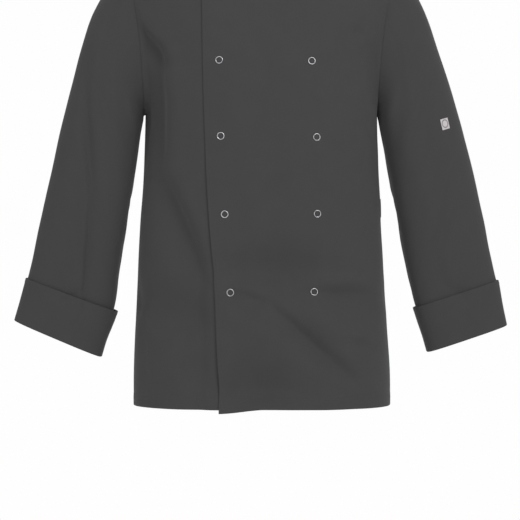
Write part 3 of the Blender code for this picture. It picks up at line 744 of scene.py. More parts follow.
class Cloth:
    """A grid of points through the middle of a piece of cloth, with its wall.

    A turned edge is a band of extra thickness, more of it outside than inside,
    which ends softly, with a dent along its stitches and a rounded rim.
    """

    # Depth, reach and inside share of the groove along a sewn edge.
    GROOVE = (0.42, 3.2, 0.5)
    TURNED = 0.45
    TURNED_INSIDE = 0.6
    SOFT_EDGE = 0.8
    # Depth of the stitches' dent, its distance from the band's end, and its half width.
    TUCK = (0.28, 2.2, 1.3)
    # Depth and reach of the rounded rim.
    ROLL = (0.35, 1.0)

    def __init__(self, name: str, points: np.ndarray, outward: np.ndarray, tube: bool = False,
                 wall: float = 1.2) -> None:
        """Lay out a piece.

        Args:
            name: the piece's name.
            points: its grid, rows by columns.
            outward: rough outward direction at each point.
            tube: whether the rows close round.
            wall: thickness of the cloth.
        """
        self.name, self.points, self.tube = name, points, tube
        self.normals = grid_normals(points, outward, tube)
        self.outer = np.full(points.shape[:2], wall / 2)
        self.inner = self.outer.copy()
        self.seams: list[Edge] = []

    @staticmethod
    def lines_from(edge: Edge, values: np.ndarray) -> np.ndarray:
        """Turn a grid's values so that the first axis leaves an edge.

        Args:
            edge: the edge.
            values: a value for each of the grid's points.

        Returns:
            The same values, with those on the edge first.
        """
        if edge in (Edge.START, Edge.END):
            values = np.swapaxes(values, 0, 1)
        return values[::-1] if edge in (Edge.TOP, Edge.END) else values

    def away(self, edge: Edge) -> np.ndarray:
        """Distance of every point from an edge.

        Args:
            edge: the edge.

        Returns:
            The length along the grid's lines, for each point.
        """
        total = run_lengths(self.lines_from(edge, self.points))
        total = total[::-1] if edge in (Edge.TOP, Edge.END) else total
        return np.swapaxes(total, 0, 1) if edge in (Edge.START, Edge.END) else total

    def thin(self, away: np.ndarray, depth: float, reach: float, inside: float = 1.0) -> None:
        """Thin the wall near a line.

        Args:
            away: distance of every point from the line.
            depth: how much the outside sinks on the line.
            reach: distance at which the wall is whole again.
            inside: how much the inside sinks, as a share of the depth.
        """
        groove = depth * (1 - ease(away / reach))
        self.outer = self.outer - groove
        self.inner = self.inner - groove * inside

    def tuck(self, away: np.ndarray, depth: float, at: float, width: float) -> None:
        """Press the outside in along a row of stitches.

        Args:
            away: distance of every point from an edge.
            depth: how deep the stitches draw it in.
            at: distance of the row from the edge.
            width: half the width of the dent.
        """
        self.outer = self.outer - depth * np.exp(-(((away - at) / width) ** 2))

    def sew(self, *edges: Edge) -> "Cloth":
        """Sink edges that meet another piece into a groove.

        Args:
            edges: the sewn edges.

        Returns:
            The same piece.
        """
        self.seams += edges
        for edge in edges:
            self.thin(self.away(edge), *self.GROOVE)
        return self

    def turn_in(self, edge: Edge, width: float) -> "Cloth":
        """Thicken a band where the cloth is turned in and stitched down.

        Args:
            edge: the turned edge.
            width: width of the turned band.

        Returns:
            The same piece.
        """
        away = self.away(edge)
        band = self.TURNED * ease((width + self.SOFT_EDGE - away) / (2 * self.SOFT_EDGE))
        self.outer = self.outer + band
        self.inner = self.inner + band * self.TURNED_INSIDE
        depth, back, half = self.TUCK
        self.tuck(away, depth, width - back, half)
        self.thin(away, *self.ROLL)
        return self

    def path(self, edge: Edge, distance: float, trim: float = 0.0) -> np.ndarray:
        """A line on the cloth's outside at a distance from an edge.

        Args:
            edge: the edge that the line follows.
            distance: how far in it runs.
            trim: length left off at both ends.

        Returns:
            Its points.
        """
        surface = self.lines_from(edge, self.points + self.normals * self.outer[..., None])
        total = run_lengths(self.lines_from(edge, self.points))
        steps = np.diff(total, axis=0)
        i = np.clip((total <= distance).sum(axis=0) - 1, 0, len(steps) - 1)
        at = np.arange(total.shape[1])
        share = ((distance - total[i, at]) / np.maximum(steps[i, at], 1e-9))[:, None]
        line = mix(surface[i, at], surface[i + 1, at], share)
        if self.tube and edge in (Edge.BOTTOM, Edge.TOP):
            line = np.concatenate([line, line[:1]])
        length = run_lengths(line)
        return line[(length >= trim) & (length <= length[-1] - trim)]

    def flat_size(self) -> tuple[float, float, float]:
        """Size of the cut before it was sewn.

        Returns:
            Its greatest width and length and its area, in metres.
        """
        grid = self.points
        if self.tube:
            grid = np.concatenate([grid, grid[:, :1]], axis=1)
        width, length = run_lengths(grid, 1)[:, -1].max(), run_lengths(grid)[-1].max()
        cross = np.cross(grid[1:, 1:] - grid[:-1, :-1], grid[1:, :-1] - grid[:-1, 1:])
        area = np.linalg.norm(cross, axis=-1).sum() / 2
        return width * MM, length * MM, area * MM * MM

    def build(self, material: bpy.types.Material) -> bpy.types.Object:
        """Make the closed mesh of the piece.

        Args:
            material: its finish.

        Returns:
            The new object.
        """
        rows, columns = self.outer.shape
        spans = columns if self.tube else columns - 1
        top = self.points + self.normals * self.outer[..., None]
        under = self.points - self.normals * self.inner[..., None]
        row, column = np.meshgrid(np.arange(rows - 1), np.arange(spans), indexing="ij")
        a = (row * columns + column).ravel()
        b = (row * columns + (column + 1) % columns).ravel()
        faces = np.stack([a, b, b + columns, a + columns], axis=1)
        count = rows * columns
        low = np.stack([np.arange(spans), (np.arange(spans) + 1) % columns], axis=1)
        rims = [low, low[:, ::-1] + (rows - 1) * columns]
        if not self.tube:
            left = np.arange(rows - 1) * columns
            right = left + columns - 1
            rims += [np.stack([left + columns, left], 1), np.stack([right, right + columns], 1)]
        rim = np.concatenate(rims)
        walls = np.stack([rim[:, 1], rim[:, 0], rim[:, 0] + count, rim[:, 1] + count], axis=1)
        every = np.concatenate([faces, faces[:, ::-1] + count, walls])
        points = np.concatenate([top.reshape(-1, 3), under.reshape(-1, 3)]) * MM
        obj = new_piece(self.name, points, every.tolist(), material)
        self.lay_flat(obj)
        return obj

    def lay_flat(self, obj: bpy.types.Object) -> None:
        """Give the mesh a map of its cut, in metres, for the weave to follow.

        Args:
            obj: the piece's object.
        """
        across, upward = run_lengths(self.points, 1), run_lengths(self.points)
        across = across - across.mean(axis=1, keepdims=True)
        flat = np.stack([across.ravel(), upward.ravel()], axis=1) * MM
        corners = np.empty(len(obj.data.loops), np.int32)
        obj.data.loops.foreach_get("vertex_index", corners)
        places = np.concatenate([flat, flat])[corners]
        layer = obj.data.uv_layers.new(name="cut")
        layer.data.foreach_set("uv", places.astype(np.float32).ravel())


def linked(name: str, data: bpy.types.ID) -> bpy.types.Object:
    """Make an object of its data and put it in the scene.

    Args:
        name: the object's name.
        data: its mesh, light or camera.

    Returns:
        The new object.
    """
    obj = bpy.data.objects.new(name, data)
    bpy.context.scene.collection.objects.link(obj)
    return obj


def new_piece(name: str, points: np.ndarray, faces: list, material: bpy.types.Material,
              crease: float = 55.0) -> bpy.types.Object:
    """A mesh object with its faces turned outward.

    Args:
        name: the piece's name.
        points: its points, in metres.
        faces: its faces, as lists of point numbers.
        material: its finish.
        crease: angle in degrees past which an edge is shaded sharp.

    Returns:
        The new object, at the origin.
    """
    mesh = bpy.data.meshes.new(name)
    mesh.from_pydata([tuple(p) for p in points], [], faces)
    work = bmesh.new()
    work.from_mesh(mesh)
    if work.calc_volume(signed=True) < 0:
        bmesh.ops.reverse_faces(work, faces=work.faces[:])
    work.to_mesh(mesh)
    work.free()
    mesh.shade_smooth()
    mesh.set_sharp_from_angle(angle=math.radians(crease))
    mesh.materials.append(material)
    return linked(name, mesh)


# Shortest sum of directions that is still a direction to share.
SHARED_LEAST = 0.3
# Limit of a mitre, as the cosine of its lean.
LEAN_LEAST = 0.62


def meet_at_seams(pieces: Sequence[Cloth]) -> None:
    """Give points where pieces meet one shared direction, so their walls mitre.

    Args:
        pieces: every piece that is sewn to another.
    """
    meetings: dict[tuple, list] = {}
    for piece in pieces:
        numbers = np.arange(piece.outer.size).reshape(piece.outer.shape)
        cells = {int(n) for edge in piece.seams for n in piece.lines_from(edge, numbers)[0]}
        for number in cells:
            at = divmod(number, piece.outer.shape[1])
            key = tuple(np.round(piece.points[at], 2))
            meetings.setdefault(key, []).append((piece, at))
    for members in meetings.values():
        shared = sum(piece.normals[at] for piece, at in members)
        size = float(np.linalg.norm(shared))
        if len(members) < 2 or size < SHARED_LEAST:
            continue
        shared = shared / size
        for piece, at in members:
            lean = max(float(shared @ piece.normals[at]), LEAN_LEAST)
            piece.outer[at] /= lean
            piece.inner[at] /= lean
            piece.normals[at] = shared


class Recipe:
    """A material under construction, with short ways to add its nodes."""

    def __init__(self, name: str) -> None:
        """Start an empty node tree.

        Args:
            name: the material's name.
        """
        self.material = bpy.data.materials.new(name)
        self.material.use_nodes = True
        self.tree = self.material.node_tree
        self.tree.nodes.clear()

    def add(self, kind: str, inputs: dict | None = None, **settings: object) -> bpy.types.Node:
        """Add a node.

        Args:
            kind: the node's type, without the leading ShaderNode.
            inputs: for each input, a value or the socket to join to it.
            settings: properties of the node.

        Returns:
            The new node.
        """
        node = self.tree.nodes.new("ShaderNode" + kind)
        for key, value in settings.items():
            setattr(node, key, value)
        for key, value in (inputs or {}).items():
            if isinstance(value, bpy.types.NodeSocket):
                self.tree.links.new(value, node.inputs[key])
            else:
                node.inputs[key].default_value = value
        return node

    def maths(self, operation: str, *values: float | bpy.types.NodeSocket) -> bpy.types.NodeSocket:
        """A Math node's result.

        Args:
            operation: the operation's name.
            values: its numbers or sockets.

        Returns:
            The result's socket.
        """
        node = self.add("Math", dict(enumerate(values)), operation=operation)
        return node.outputs[0]

    def cut_lengths(self) -> bpy.types.NodeSocket:
        """Place on the cloth's cut, in metres."""
        return self.add("UVMap", uv_map="cut").outputs["UV"]

    def object_place(self) -> bpy.types.NodeSocket:
        """Place in the jacket's own frame, in metres."""
        return self.add("TexCoord").outputs["Object"]

    def noise(self, place: bpy.types.NodeSocket, grain: float, detail: float,
              **settings: object) -> bpy.types.NodeSocket:
        """Soft noise.

        Args:
            place: where it is read.
            grain: width of its grains, in metres.
            detail: how many finer layers it has.
            settings: properties of the node.

        Returns:
            A socket that runs about 0.5.
        """
        inputs = {"Vector": place, "Scale": 1 / grain, "Detail": detail}
        return self.add("TexNoise", inputs, **settings).outputs[0]

    def bump(self, height: bpy.types.NodeSocket, strength: float,
             rise: float) -> bpy.types.NodeSocket:
        """Relief too fine to model.

        Args:
            height: its height, from 0 to 1.
            strength: how strongly it shows.
            rise: its height in metres.

        Returns:
            The normal's socket.
        """
        inputs = {"Height": height, "Strength": strength, "Distance": rise}
        return self.add("Bump", inputs).outputs["Normal"]

    def weave(self, place: bpy.types.NodeSocket, thread: float,
              direction: str) -> bpy.types.NodeSocket:
        """Relief of a woven trim's threads.

        Args:
            place: where it is read.
            thread: width of a thread, in metres.
            direction: the axis that the threads lie across.

        Returns:
            The normal's socket.
        """
        bands = self.add("TexWave", {"Vector": place, "Scale": BAND_SCALE / thread},
                         wave_type="BANDS", bands_direction=direction)
        return self.bump(bands.outputs["Fac"], 0.4, thread * 0.2)

    def tint(self, share: bpy.types.NodeSocket, low: Sequence[float],
             high: Sequence[float]) -> bpy.types.NodeSocket:
        """A colour between two.

        Args:
            share: 0 for the first colour, 1 for the second.
            low: the first colour.
            high: the second colour.

        Returns:
            The colour's socket.
        """
        node = self.add("Mix", {0: share, 6: (*low, 1.0), 7: (*high, 1.0)}, data_type="RGBA")
        return node.outputs[2]

    def finish(self, inputs: dict) -> bpy.types.Material:
        """Add the shader and the output.

        Args:
            inputs: for each of the shader's inputs, a value or a socket.

        Returns:
            The material.
        """
        shader = self.add("BsdfPrincipled", inputs)
        self.add("OutputMaterial", {"Surface": shader.outputs["BSDF"]})
        return self.material


def toned(colour: Sequence[float], share: float) -> list[float]:
    """A colour made darker or paler by a factor."""
    return [part * share for part in colour]


@dataclass(frozen=True)
class TwillCloth:
    """Charcoal cotton twill with a fine slanting rib."""

    name: str = "charcoal_twill"
    colour: Triple = (0.058, 0.057, 0.0585)
    roughness: float = 0.9
    roughness_range: float = 0.08
    rib: float = 0.0008
    rib_height: float = 0.00006
    patch: float = 0.03
    patch_share: float = 0.02
    fleck: float = 0.0011
    fleck_share: float = 0.05
    sheen: float = 0.12
    shine: float = 0.12

    def material(self) -> bpy.types.Material:
        """Build the twill.

        Returns:
            Its material.
        """
        recipe = Recipe(self.name)
        place = recipe.cut_lengths()
        ribs = recipe.add("TexWave", {"Vector": place, "Scale": DIAGONAL_SCALE / self.rib,
                                      "Distortion": 0.6, "Detail": 1.0, "Detail Scale": 1.5},
                          wave_type="BANDS", bands_direction="DIAGONAL")
        fleck = recipe.noise(place, self.fleck, 2.0, noise_dimensions="2D")
        patch = recipe.add("TexNoise", {"Vector": place, "Scale": 1 / self.patch, "Detail": 3.0,
                                        "Roughness": 0.55}, noise_dimensions="2D").outputs[0]
        ratio = self.fleck_share / self.patch_share
        even = recipe.maths("DIVIDE", recipe.maths("MULTIPLY_ADD", fleck, ratio, patch), 1 + ratio)
        shade = 2 * (self.patch_share + self.fleck_share)
        tint = recipe.tint(even, toned(self.colour, 1 - shade), toned(self.colour, 1 + shade))
        least = self.roughness - self.roughness_range / 2
        rough = recipe.maths("MULTIPLY_ADD", fleck, self.roughness_range, least)
        return recipe.finish({
            "Base Color": tint, "Roughness": rough, "Sheen Weight": self.sheen,
            "Normal": recipe.bump(ribs.outputs["Fac"], 0.6, self.rib_height),
            "Sheen Roughness": 0.6, "Specular IOR Level": self.shine})


@dataclass(frozen=True)
class SewingThread:
    """Matt thread, a touch paler than the twill."""

    name: str = "charcoal_thread"
    colour: Triple = (0.068, 0.067, 0.069)
    roughness: float = 0.72
    ply: float = 0.0004

    def material(self) -> bpy.types.Material:
        """Build the thread.

        Returns:
            Its material.
        """
        recipe = Recipe(self.name)
        ply = recipe.noise(recipe.object_place(), self.ply, 1.0)
        tint = recipe.tint(ply, toned(self.colour, 0.85), toned(self.colour, 1.15))
        return recipe.finish({"Base Color": tint, "Roughness": self.roughness,
                              "Normal": recipe.bump(ply, 0.3, self.ply * 0.3)})


@dataclass(frozen=True)
class NickelPlate:
    """Plated steel of the stud rings, with a brushed unevenness."""

    name: str = "nickel_plate"
    colour: Triple = (0.66, 0.66, 0.68)
    roughness: float = 0.3
    roughness_range: float = 0.16
    mark: float = 0.0015

    def material(self) -> bpy.types.Material:
        """Build the plating.

        Returns:
            Its material.
        """
        recipe = Recipe(self.name)
        marks = recipe.noise(recipe.object_place(), self.mark, 4.0)
        least = self.roughness - self.roughness_range / 2
        rough = recipe.maths("MULTIPLY_ADD", marks, self.roughness_range, least)
        tint = recipe.tint(marks, toned(self.colour, 0.93), self.colour)
        return recipe.finish({"Base Color": tint, "Roughness": rough, "Metallic": 1.0})


@dataclass(frozen=True)
class LabelWeave:
    """Pale woven label with a plain oval ring."""

    name: str = "pale_label_weave"
    ground: Triple = (0.60, 0.565, 0.575)
    mark: Triple = (0.16, 0.14, 0.15)
    centre: Triple = (0.0, 0.0094, 0.0)
    ring: tuple[float, float] = (0.0050, 0.0062)
    line: float = 0.24
    thread: float = 0.0005
    roughness: float = 0.82
    sheen: float = 0.1

    def material(self) -> bpy.types.Material:
        """Build the label's weave.

        Returns:
            Its material.
        """
        recipe = Recipe(self.name)
        place = recipe.cut_lengths()
        centred = recipe.add("VectorMath", {0: place, 1: self.centre}, operation="SUBTRACT")
        scales = (1 / self.ring[0], 1 / self.ring[1], 1)
        scaled = recipe.add("VectorMath", {0: centred.outputs[0], 1: scales}, operation="MULTIPLY")
        away = recipe.add("VectorMath", {0: scaled.outputs[0]}, operation="LENGTH")
        off = recipe.maths("ABSOLUTE", recipe.maths("SUBTRACT", away.outputs["Value"], 1.0))
        ring = recipe.maths("SUBTRACT", 1.0, recipe.maths("DIVIDE", off, self.line))
        tint = recipe.tint(recipe.maths("MAXIMUM", ring, 0.0), self.ground, self.mark)
        return recipe.finish({"Base Color": tint, "Roughness": self.roughness,
                              "Normal": recipe.weave(place, self.thread, "Y"),
                              "Sheen Weight": self.sheen})


@dataclass(frozen=True)
class TagWeave:
    """Dark woven tag with a slightly paler border."""

    name: str = "dark_tag_weave"
    ground: Triple = (0.060, 0.059, 0.060)
    border: Triple = (0.088, 0.086, 0.087)
    half: tuple[float, float] = (0.0129, 0.015)
    edge: float = 0.0013
    thread: float = 0.0005
    roughness: float = 0.85

    def material(self) -> bpy.types.Material:
        """Build the tag's weave.

        Returns:
            Its material.
        """
        recipe = Recipe(self.name)
        place = recipe.cut_lengths()
        parts = recipe.add("SeparateXYZ", {0: place})
        height = recipe.maths("ABSOLUTE", recipe.maths("SUBTRACT", parts.outputs[1], self.half[1]))
        ends = recipe.maths("GREATER_THAN", height, self.half[1] - self.edge)
        side = recipe.maths("GREATER_THAN", recipe.maths("ABSOLUTE", parts.outputs[0]),
                            self.half[0] - self.edge)
        tint = recipe.tint(recipe.maths("MAXIMUM", ends, side), self.ground, self.border)
        return recipe.finish({"Base Color": tint, "Roughness": self.roughness,
                              "Normal": recipe.weave(place, self.thread, "X")})


@dataclass(frozen=True)
class StudioPaper:
    """White paper of the studio floor."""

    name: str = "studio_paper"
    colour: Triple = (0.82, 0.82, 0.82)
    grain: float = 1 / 60
    roughness: float = 0.95

    def material(self) -> bpy.types.Material:
        """Build the paper.

        Returns:
            Its material.
        """
        recipe = Recipe(self.name)
        grain = recipe.noise(recipe.object_place(), self.grain, 3.0)
        tint = recipe.tint(grain, toned(self.colour, 0.985), self.colour)
        return recipe.finish({"Base Color": tint, "Roughness": self.roughness})


@dataclass(frozen=True)
class ClothGrid:
    """Rows and columns that the body's panels and the sleeves share."""

    length: float = 485.0
    hem_rows: tuple[float, ...] = (0, 0.8, 1.8, 3.2, 5.5, 8.5, 11.5, 14, 15.8, 17, 18, 19, 20.2,
                                   22, 25)
    low_rows: int = 88
    high_rows: int = 52
    side_columns: int = 26
    free_columns: int = 19
    lap_columns: int = 20
    under_columns: int = 7
    under_edge: float = 0.75
    near_seam: tuple[float, ...] = (0.006, 0.016)
    near_edge: tuple[float, ...] = (0.009, 0.02, 0.038, 0.052, 0.064, 0.076, 0.088, 0.102)

    def turns(self) -> np.ndarray:
        """Shares of the way up an armhole.

        Returns:
            Each row's share t, closer together near both ends.
        """
        even = np.linspace(0, 1, self.high_rows + 1)
        near = np.array(self.near_seam)
        return np.unique(np.concatenate([even, near, 1 - near]).round(6))

    def heights(self) -> np.ndarray:
        """Heights of the body's rows.

        Returns:
            Each row's height v.
        """
        low = np.linspace(self.hem_rows[-1], self.length, self.low_rows + 1)[1:-1] / self.length
        hem = np.array(self.hem_rows) / self.length
        return np.concatenate([hem, low, 1 + self.turns()])

    def columns(self, start: float, end: float) -> np.ndarray:
        """Columns of a panel.

        Args:
            start: its first column.
            end: its last column.

        Returns:
            Each column c from start to end.
        """
        side, near = np.linspace(1, 2, self.side_columns), np.array(self.near_seam)
        every = np.concatenate([
            side, -side, 2 - near, near - 2, np.linspace(-1, 0, self.free_columns),
            np.linspace(0, self.under_edge, self.lap_columns),
            np.linspace(self.under_edge, 1, self.under_columns), np.array(self.near_edge) - 1])
        every = np.unique(every.round(6))
        return every[(every >= start - NEARLY) & (every <= end + NEARLY)]

    def angles(self) -> np.ndarray:
        """Angles round a sleeve.

        Returns:
            Each column's angle, from the inner line on.
        """
        turns = self.turns() * math.pi
        return np.concatenate([turns, 2 * math.pi - turns[1:-1][::-1]])


@dataclass(frozen=True)
class FrontPanels:
    """The two fronts, the wearer's left one lapped over the right.

    The left one clears the right one by its lift, and by more of it near the
    neck. Its free edge stands off further below the armpits, in a slow wave.
    Its lower corner hangs a little lower, and its top edge falls towards the
    free edge. The right one's top edge tucks down where it lies under the left.
    """

    body: BodyForm
    grid: ClothGrid
    lift: float = 2.0
    neck_lift: float = 0.5
    neck_from: float = 1.6
    neck_over: float = 0.35
    edge_lift: float = 1.6
    edge_from: float = -0.55
    edge_over: float = 0.45
    edge_top: float = 1.0
    edge_fall: float = 0.5
    wave: float = 0.35
    wave_rate: float = 9.0
    wave_phase: float = 0.4
    wave_top: float = 1.2
    wave_fall: float = 0.6
    corner_drop: float = 6.0
    corner_from: float = 0.55
    corner_curve: float = 1.6
    corner_height: float = 0.12
    top_fall: float = 0.16
    tuck_under: float = 0.035
    tuck_over: float = 0.2
    tuck_from: float = 1.9
    edge_band: float = 7.5
    hem_band: float = 19.0

    def clear(self, c: np.ndarray, v: np.ndarray) -> np.ndarray:
        """How far the left front stands out from the right one under it.

        Args:
            c: columns.
            v: heights.

        Returns:
            The distance at each pair of c and v.
        """
        under = self.grid.under_edge
        over = 1 - ease((c - under) / (1 - under))
        loose = ease((self.edge_from - c) / self.edge_over)
        loose = loose * ease((self.edge_top - v) / self.edge_fall)
        neck = 1 + self.neck_lift * ease((v - self.neck_from) / self.neck_over)
        swing = np.sin(self.wave_rate * v + self.wave_phase)
        wave = 1 + self.wave * swing * ease((self.wave_top - v) / self.wave_fall)
        return self.lift * neck * over + self.edge_lift * loose * wave

    def over_points(self, c: np.ndarray, v: np.ndarray, out: float = 0.0) -> np.ndarray:
        """Points of the left front.

        Args:
            c: columns.
            v: heights.
            out: distance out from the middle of its cloth.

        Returns:
            A grid of points, heights by columns.
        """
        c, v = np.meshgrid(c, v)
        fallen = np.where(v > 1, 1 + (v - 1) * (1 - self.top_fall * ease(-c)), v)
        points = self.body.cloth(c, fallen, Face.FRONT)
        share = ease((self.corner_from - c) / (1 + self.corner_from)) ** self.corner_curve
        points[..., 2] -= self.corner_drop * share * ease(1 - v / self.corner_height)
        normals = grid_normals(points, outward_of(points))
        normals = np.where(normals[..., 1:2] > 0.2, -normals, normals)
        return points + normals * (self.clear(c, v) + out)[..., None]

    def left(self) -> Cloth:
        """Lay out the wearer's left front, which lies on top.

        Returns:
            Its cloth.
        """
        points = self.over_points(self.grid.columns(-1, 2), self.grid.heights())
        piece = Cloth("front_left_cloth", points, outward_of(points)).sew(Edge.END, Edge.TOP)
        return piece.turn_in(Edge.BOTTOM, self.hem_band).turn_in(Edge.START, self.edge_band)

    def right(self) -> Cloth:
        """Lay out the wearer's right front, which passes under.

        Returns:
            Its cloth.
        """
        c, v = np.meshgrid(self.grid.columns(-2, self.grid.under_edge), self.grid.heights())
        under = ease(c / self.tuck_over) * ease((v - self.tuck_from) / (2 - self.tuck_from))
        points = self.body.cloth(c, v - self.tuck_under * under, Face.FRONT)
        piece = Cloth("front_right_cloth", points, outward_of(points)).sew(Edge.START, Edge.TOP)
        return piece.turn_in(Edge.BOTTOM, self.hem_band)


@dataclass(frozen=True)
class BackPanel:
    """The back, one piece from side seam to side seam."""

    body: BodyForm
    grid: ClothGrid
    hem_band: float = 19.0

    def cloth(self) -> Cloth:
        """Lay out the back.

        Returns:
            Its cloth.
        """
        c, v = np.meshgrid(self.grid.columns(-2, 2), self.grid.heights())
        points = self.body.cloth(c, v, Face.BACK)
        piece = Cloth("back_cloth", points, outward_of(points))
        return piece.sew(Edge.START, Edge.END, Edge.TOP).turn_in(Edge.BOTTOM, self.hem_band)


@dataclass(frozen=True)
class StandCollar:
    """The stand collar on the neckline, open at the centre front.

    The wavy pair is a stretch along the collar and a height. The roll and the
    tuck are what the cloth's thin and tuck take along its free edges.
    """

    grid: ClothGrid
    front_height: float = 34.0
    back_height: float = 40.0
    side_dip: float = 4.0
    lean: float = 0.16
    lean_curve: float = 1.1
    end_gap: float = 1.5
    gap_by: float = 0.1
    corner: float = 12.0
    corner_drop: float = 9.0
    wall: float = 1.7
    wavy: tuple[float, float] = (1.3, 0.5)
    roll: tuple[float, float] = (0.45, 1.6)
    tuck: tuple[float, float, float] = (0.22, 5.0, 1.4)
    rows: tuple[float, ...] = (0, 0.03, 0.07, 0.12, 0.2, 0.3, 0.4, 0.5, 0.6, 0.7, 0.78, 0.84, 0.88,
                               0.92, 0.96, 0.985, 1)

    def neckline(self, left: Cloth, right: Cloth, back: Cloth) -> np.ndarray:
        """The line that the collar is sewn to.

        Args:
            left: the left front.
            right: the right front.
            back: the back.

        Returns:
            Its points, from the centre front round the wearer's right and back.
        """
        right_c = self.grid.columns(-2, self.grid.under_edge)
        left_c, back_c = self.grid.columns(-1, 2), self.grid.columns(-2, 2)
        first = right.points[-1][(right_c >= -1 - NEARLY) & (right_c <= NEARLY)][::-1]
        middle = back.points[-1][np.abs(back_c) <= 1 + NEARLY][1:]
        last = left.points[-1][(left_c >= -NEARLY) & (left_c < 1 - NEARLY)][::-1]
        return np.concatenate([first, middle, last])

    def cloth(self, base: np.ndarray) -> Cloth:
        """Lay out the collar.

        Args:
            base: the neckline.

        Returns:
            The collar.
        """
        along = run_lengths(base)
        near = np.minimum(along, along[-1] - along)
        backward = near / near.max()
        tall = mix(self.front_height, self.back_height, ease(backward))
        tall = tall - self.side_dip * np.sin(math.pi * backward) ** 2
        short = np.clip(1 - near / self.corner, 0, 1)
        inward = unit(-outward_of(base))
        share = np.array(self.rows)[:, None]
        round_off = self.corner_drop * (1 - np.sqrt(np.maximum(1 - short**2, 0.0)))
        height = (tall - round_off * share) * share
        points = base[None] + np.array((0, 0, 1.0)) * height[..., None]
        points = points + inward[None] * (self.lean * tall * share**self.lean_curve)[..., None]
        away = np.where((along < along[-1] / 2)[:, None], 1, -1) * unit(np.gradient(base, axis=0))
        shift = (self.end_gap * short)[None] * np.minimum(share / self.gap_by, 1)
        points = points + away[None] * shift[..., None]
        stretch, size = self.wavy
        wavy = ripple(along * stretch, height, size) * np.sin(math.pi * share * 0.5)
        points = points - inward[None] * wavy[..., None]
        piece = Cloth("collar_cloth", points, outward_of(points), wall=self.wall).sew(Edge.BOTTOM)
        for edge in (Edge.TOP, Edge.START, Edge.END):
            piece.thin(piece.away(edge), *self.roll)
            piece.tuck(piece.away(edge), *self.tuck)
        return piece


@dataclass(frozen=True)
class Sleeve:
    """A set-in sleeve, a tube from the armhole to inside the cuff.

    Its underarm holds the depth, reach and inside share of that seam's groove.
    """

    form: SleeveForm
    grid: ClothGrid
    near_top: tuple[float, ...] = (0.0, 1.2, 2.6, 4.2)
    row: float = 5.0
    first_row: float = 8.0
    last_gap: float = 2.0
    inside_cuff: float = 20.0
    underarm: tuple[float, float, float] = (0.35, 3.0, 0.4)

    def cloth(self) -> Cloth:
        """Lay out the sleeve.

        Returns:
            Its cloth, with the groove of its underarm seam.
        """
        end = self.form.downs[-1] - self.inside_cuff
        count = int((end - self.first_row) / self.row)
        even = np.linspace(self.first_row, end - self.last_gap, count)
        rows = np.concatenate([self.near_top, even, [end]])
        down, angle = np.meshgrid(rows, self.grid.angles(), indexing="ij")
        points = self.form.point(down, angle)
        name = f"sleeve_{self.form.side.word}_cloth"
        outward = points - points.mean(axis=1, keepdims=True)
        piece = Cloth(name, points, outward, tube=True).sew(Edge.BOTTOM, Edge.TOP)
        round_off = np.minimum(angle, 2 * math.pi - angle)
        piece.thin(round_off * np.linalg.norm(outward, axis=-1), *self.underarm)
        return piece


@dataclass(frozen=True)
class TurnedCuff:
    """A cuff turned back on the sleeve, with its inner return.

    It stands off by its flare, at the outer and the inner line, and bows in
    by its spread. The wavy pair is a stretch round the cuff and a height.
    """

    form: SleeveForm
    grid: ClothGrid
    flare: tuple[float, float]
    inside: float = 20.0
    turn: float = 1.3
    turn_rows: int = 8
    depth: float = 77.0
    spread: float = -0.6
    spread_curve: float = 1.3
    wavy: tuple[float, float] = (60.0, 0.5)
    edge_band: float = 7.0
    return_rows: tuple[float, ...] = (20, 17, 13, 9, 5, 2.6)
    up_rows: tuple[float, ...] = (3, 5, 6.2, 7.4, 9, 12, 16, 20.5, 25, 30, 35, 40, 45, 50, 55,
                                  60, 64, 67, 69, 70.2, 71.4, 73, 75, 76.2, 77)

    def cloth(self) -> Cloth:
        """Lay out the cuff.

        Returns:
            Its cloth, from the return's end round the turn and back up.
        """
        stations = [(up, 0.0) for up in self.return_rows]
        for n in range(self.turn_rows + 1):
            bend = math.pi * n / self.turn_rows
            stations.append((self.turn * (1 - math.sin(bend)), self.turn * (1 - math.cos(bend))))
        for up in self.up_rows:
            stations.append(
                (up, 2 * self.turn + self.spread * (up / self.depth) ** self.spread_curve))
        up, out = (values[:, None] for values in np.array(stations).T)
        share = ease((up - self.inside) / (self.depth - self.inside)) * (out > self.turn)
        down, angle = np.meshgrid(self.form.downs[-1] - up, self.grid.angles(), indexing="ij")
        stretch, size = self.wavy
        uneven = ripple(angle * stretch, up, size) * (out > self.turn + 0.1)
        flare = self.flare[0] * share, self.flare[1] * share
        points = self.form.point(down, angle, out + np.abs(uneven) * share, flare)
        away = np.zeros_like(points)
        away[0] = points[0] - points[0].mean(axis=0)
        piece = Cloth(f"cuff_{self.form.side.word}_cloth", points, away, tube=True)
        return piece.sew(Edge.BOTTOM).turn_in(Edge.TOP, self.edge_band)


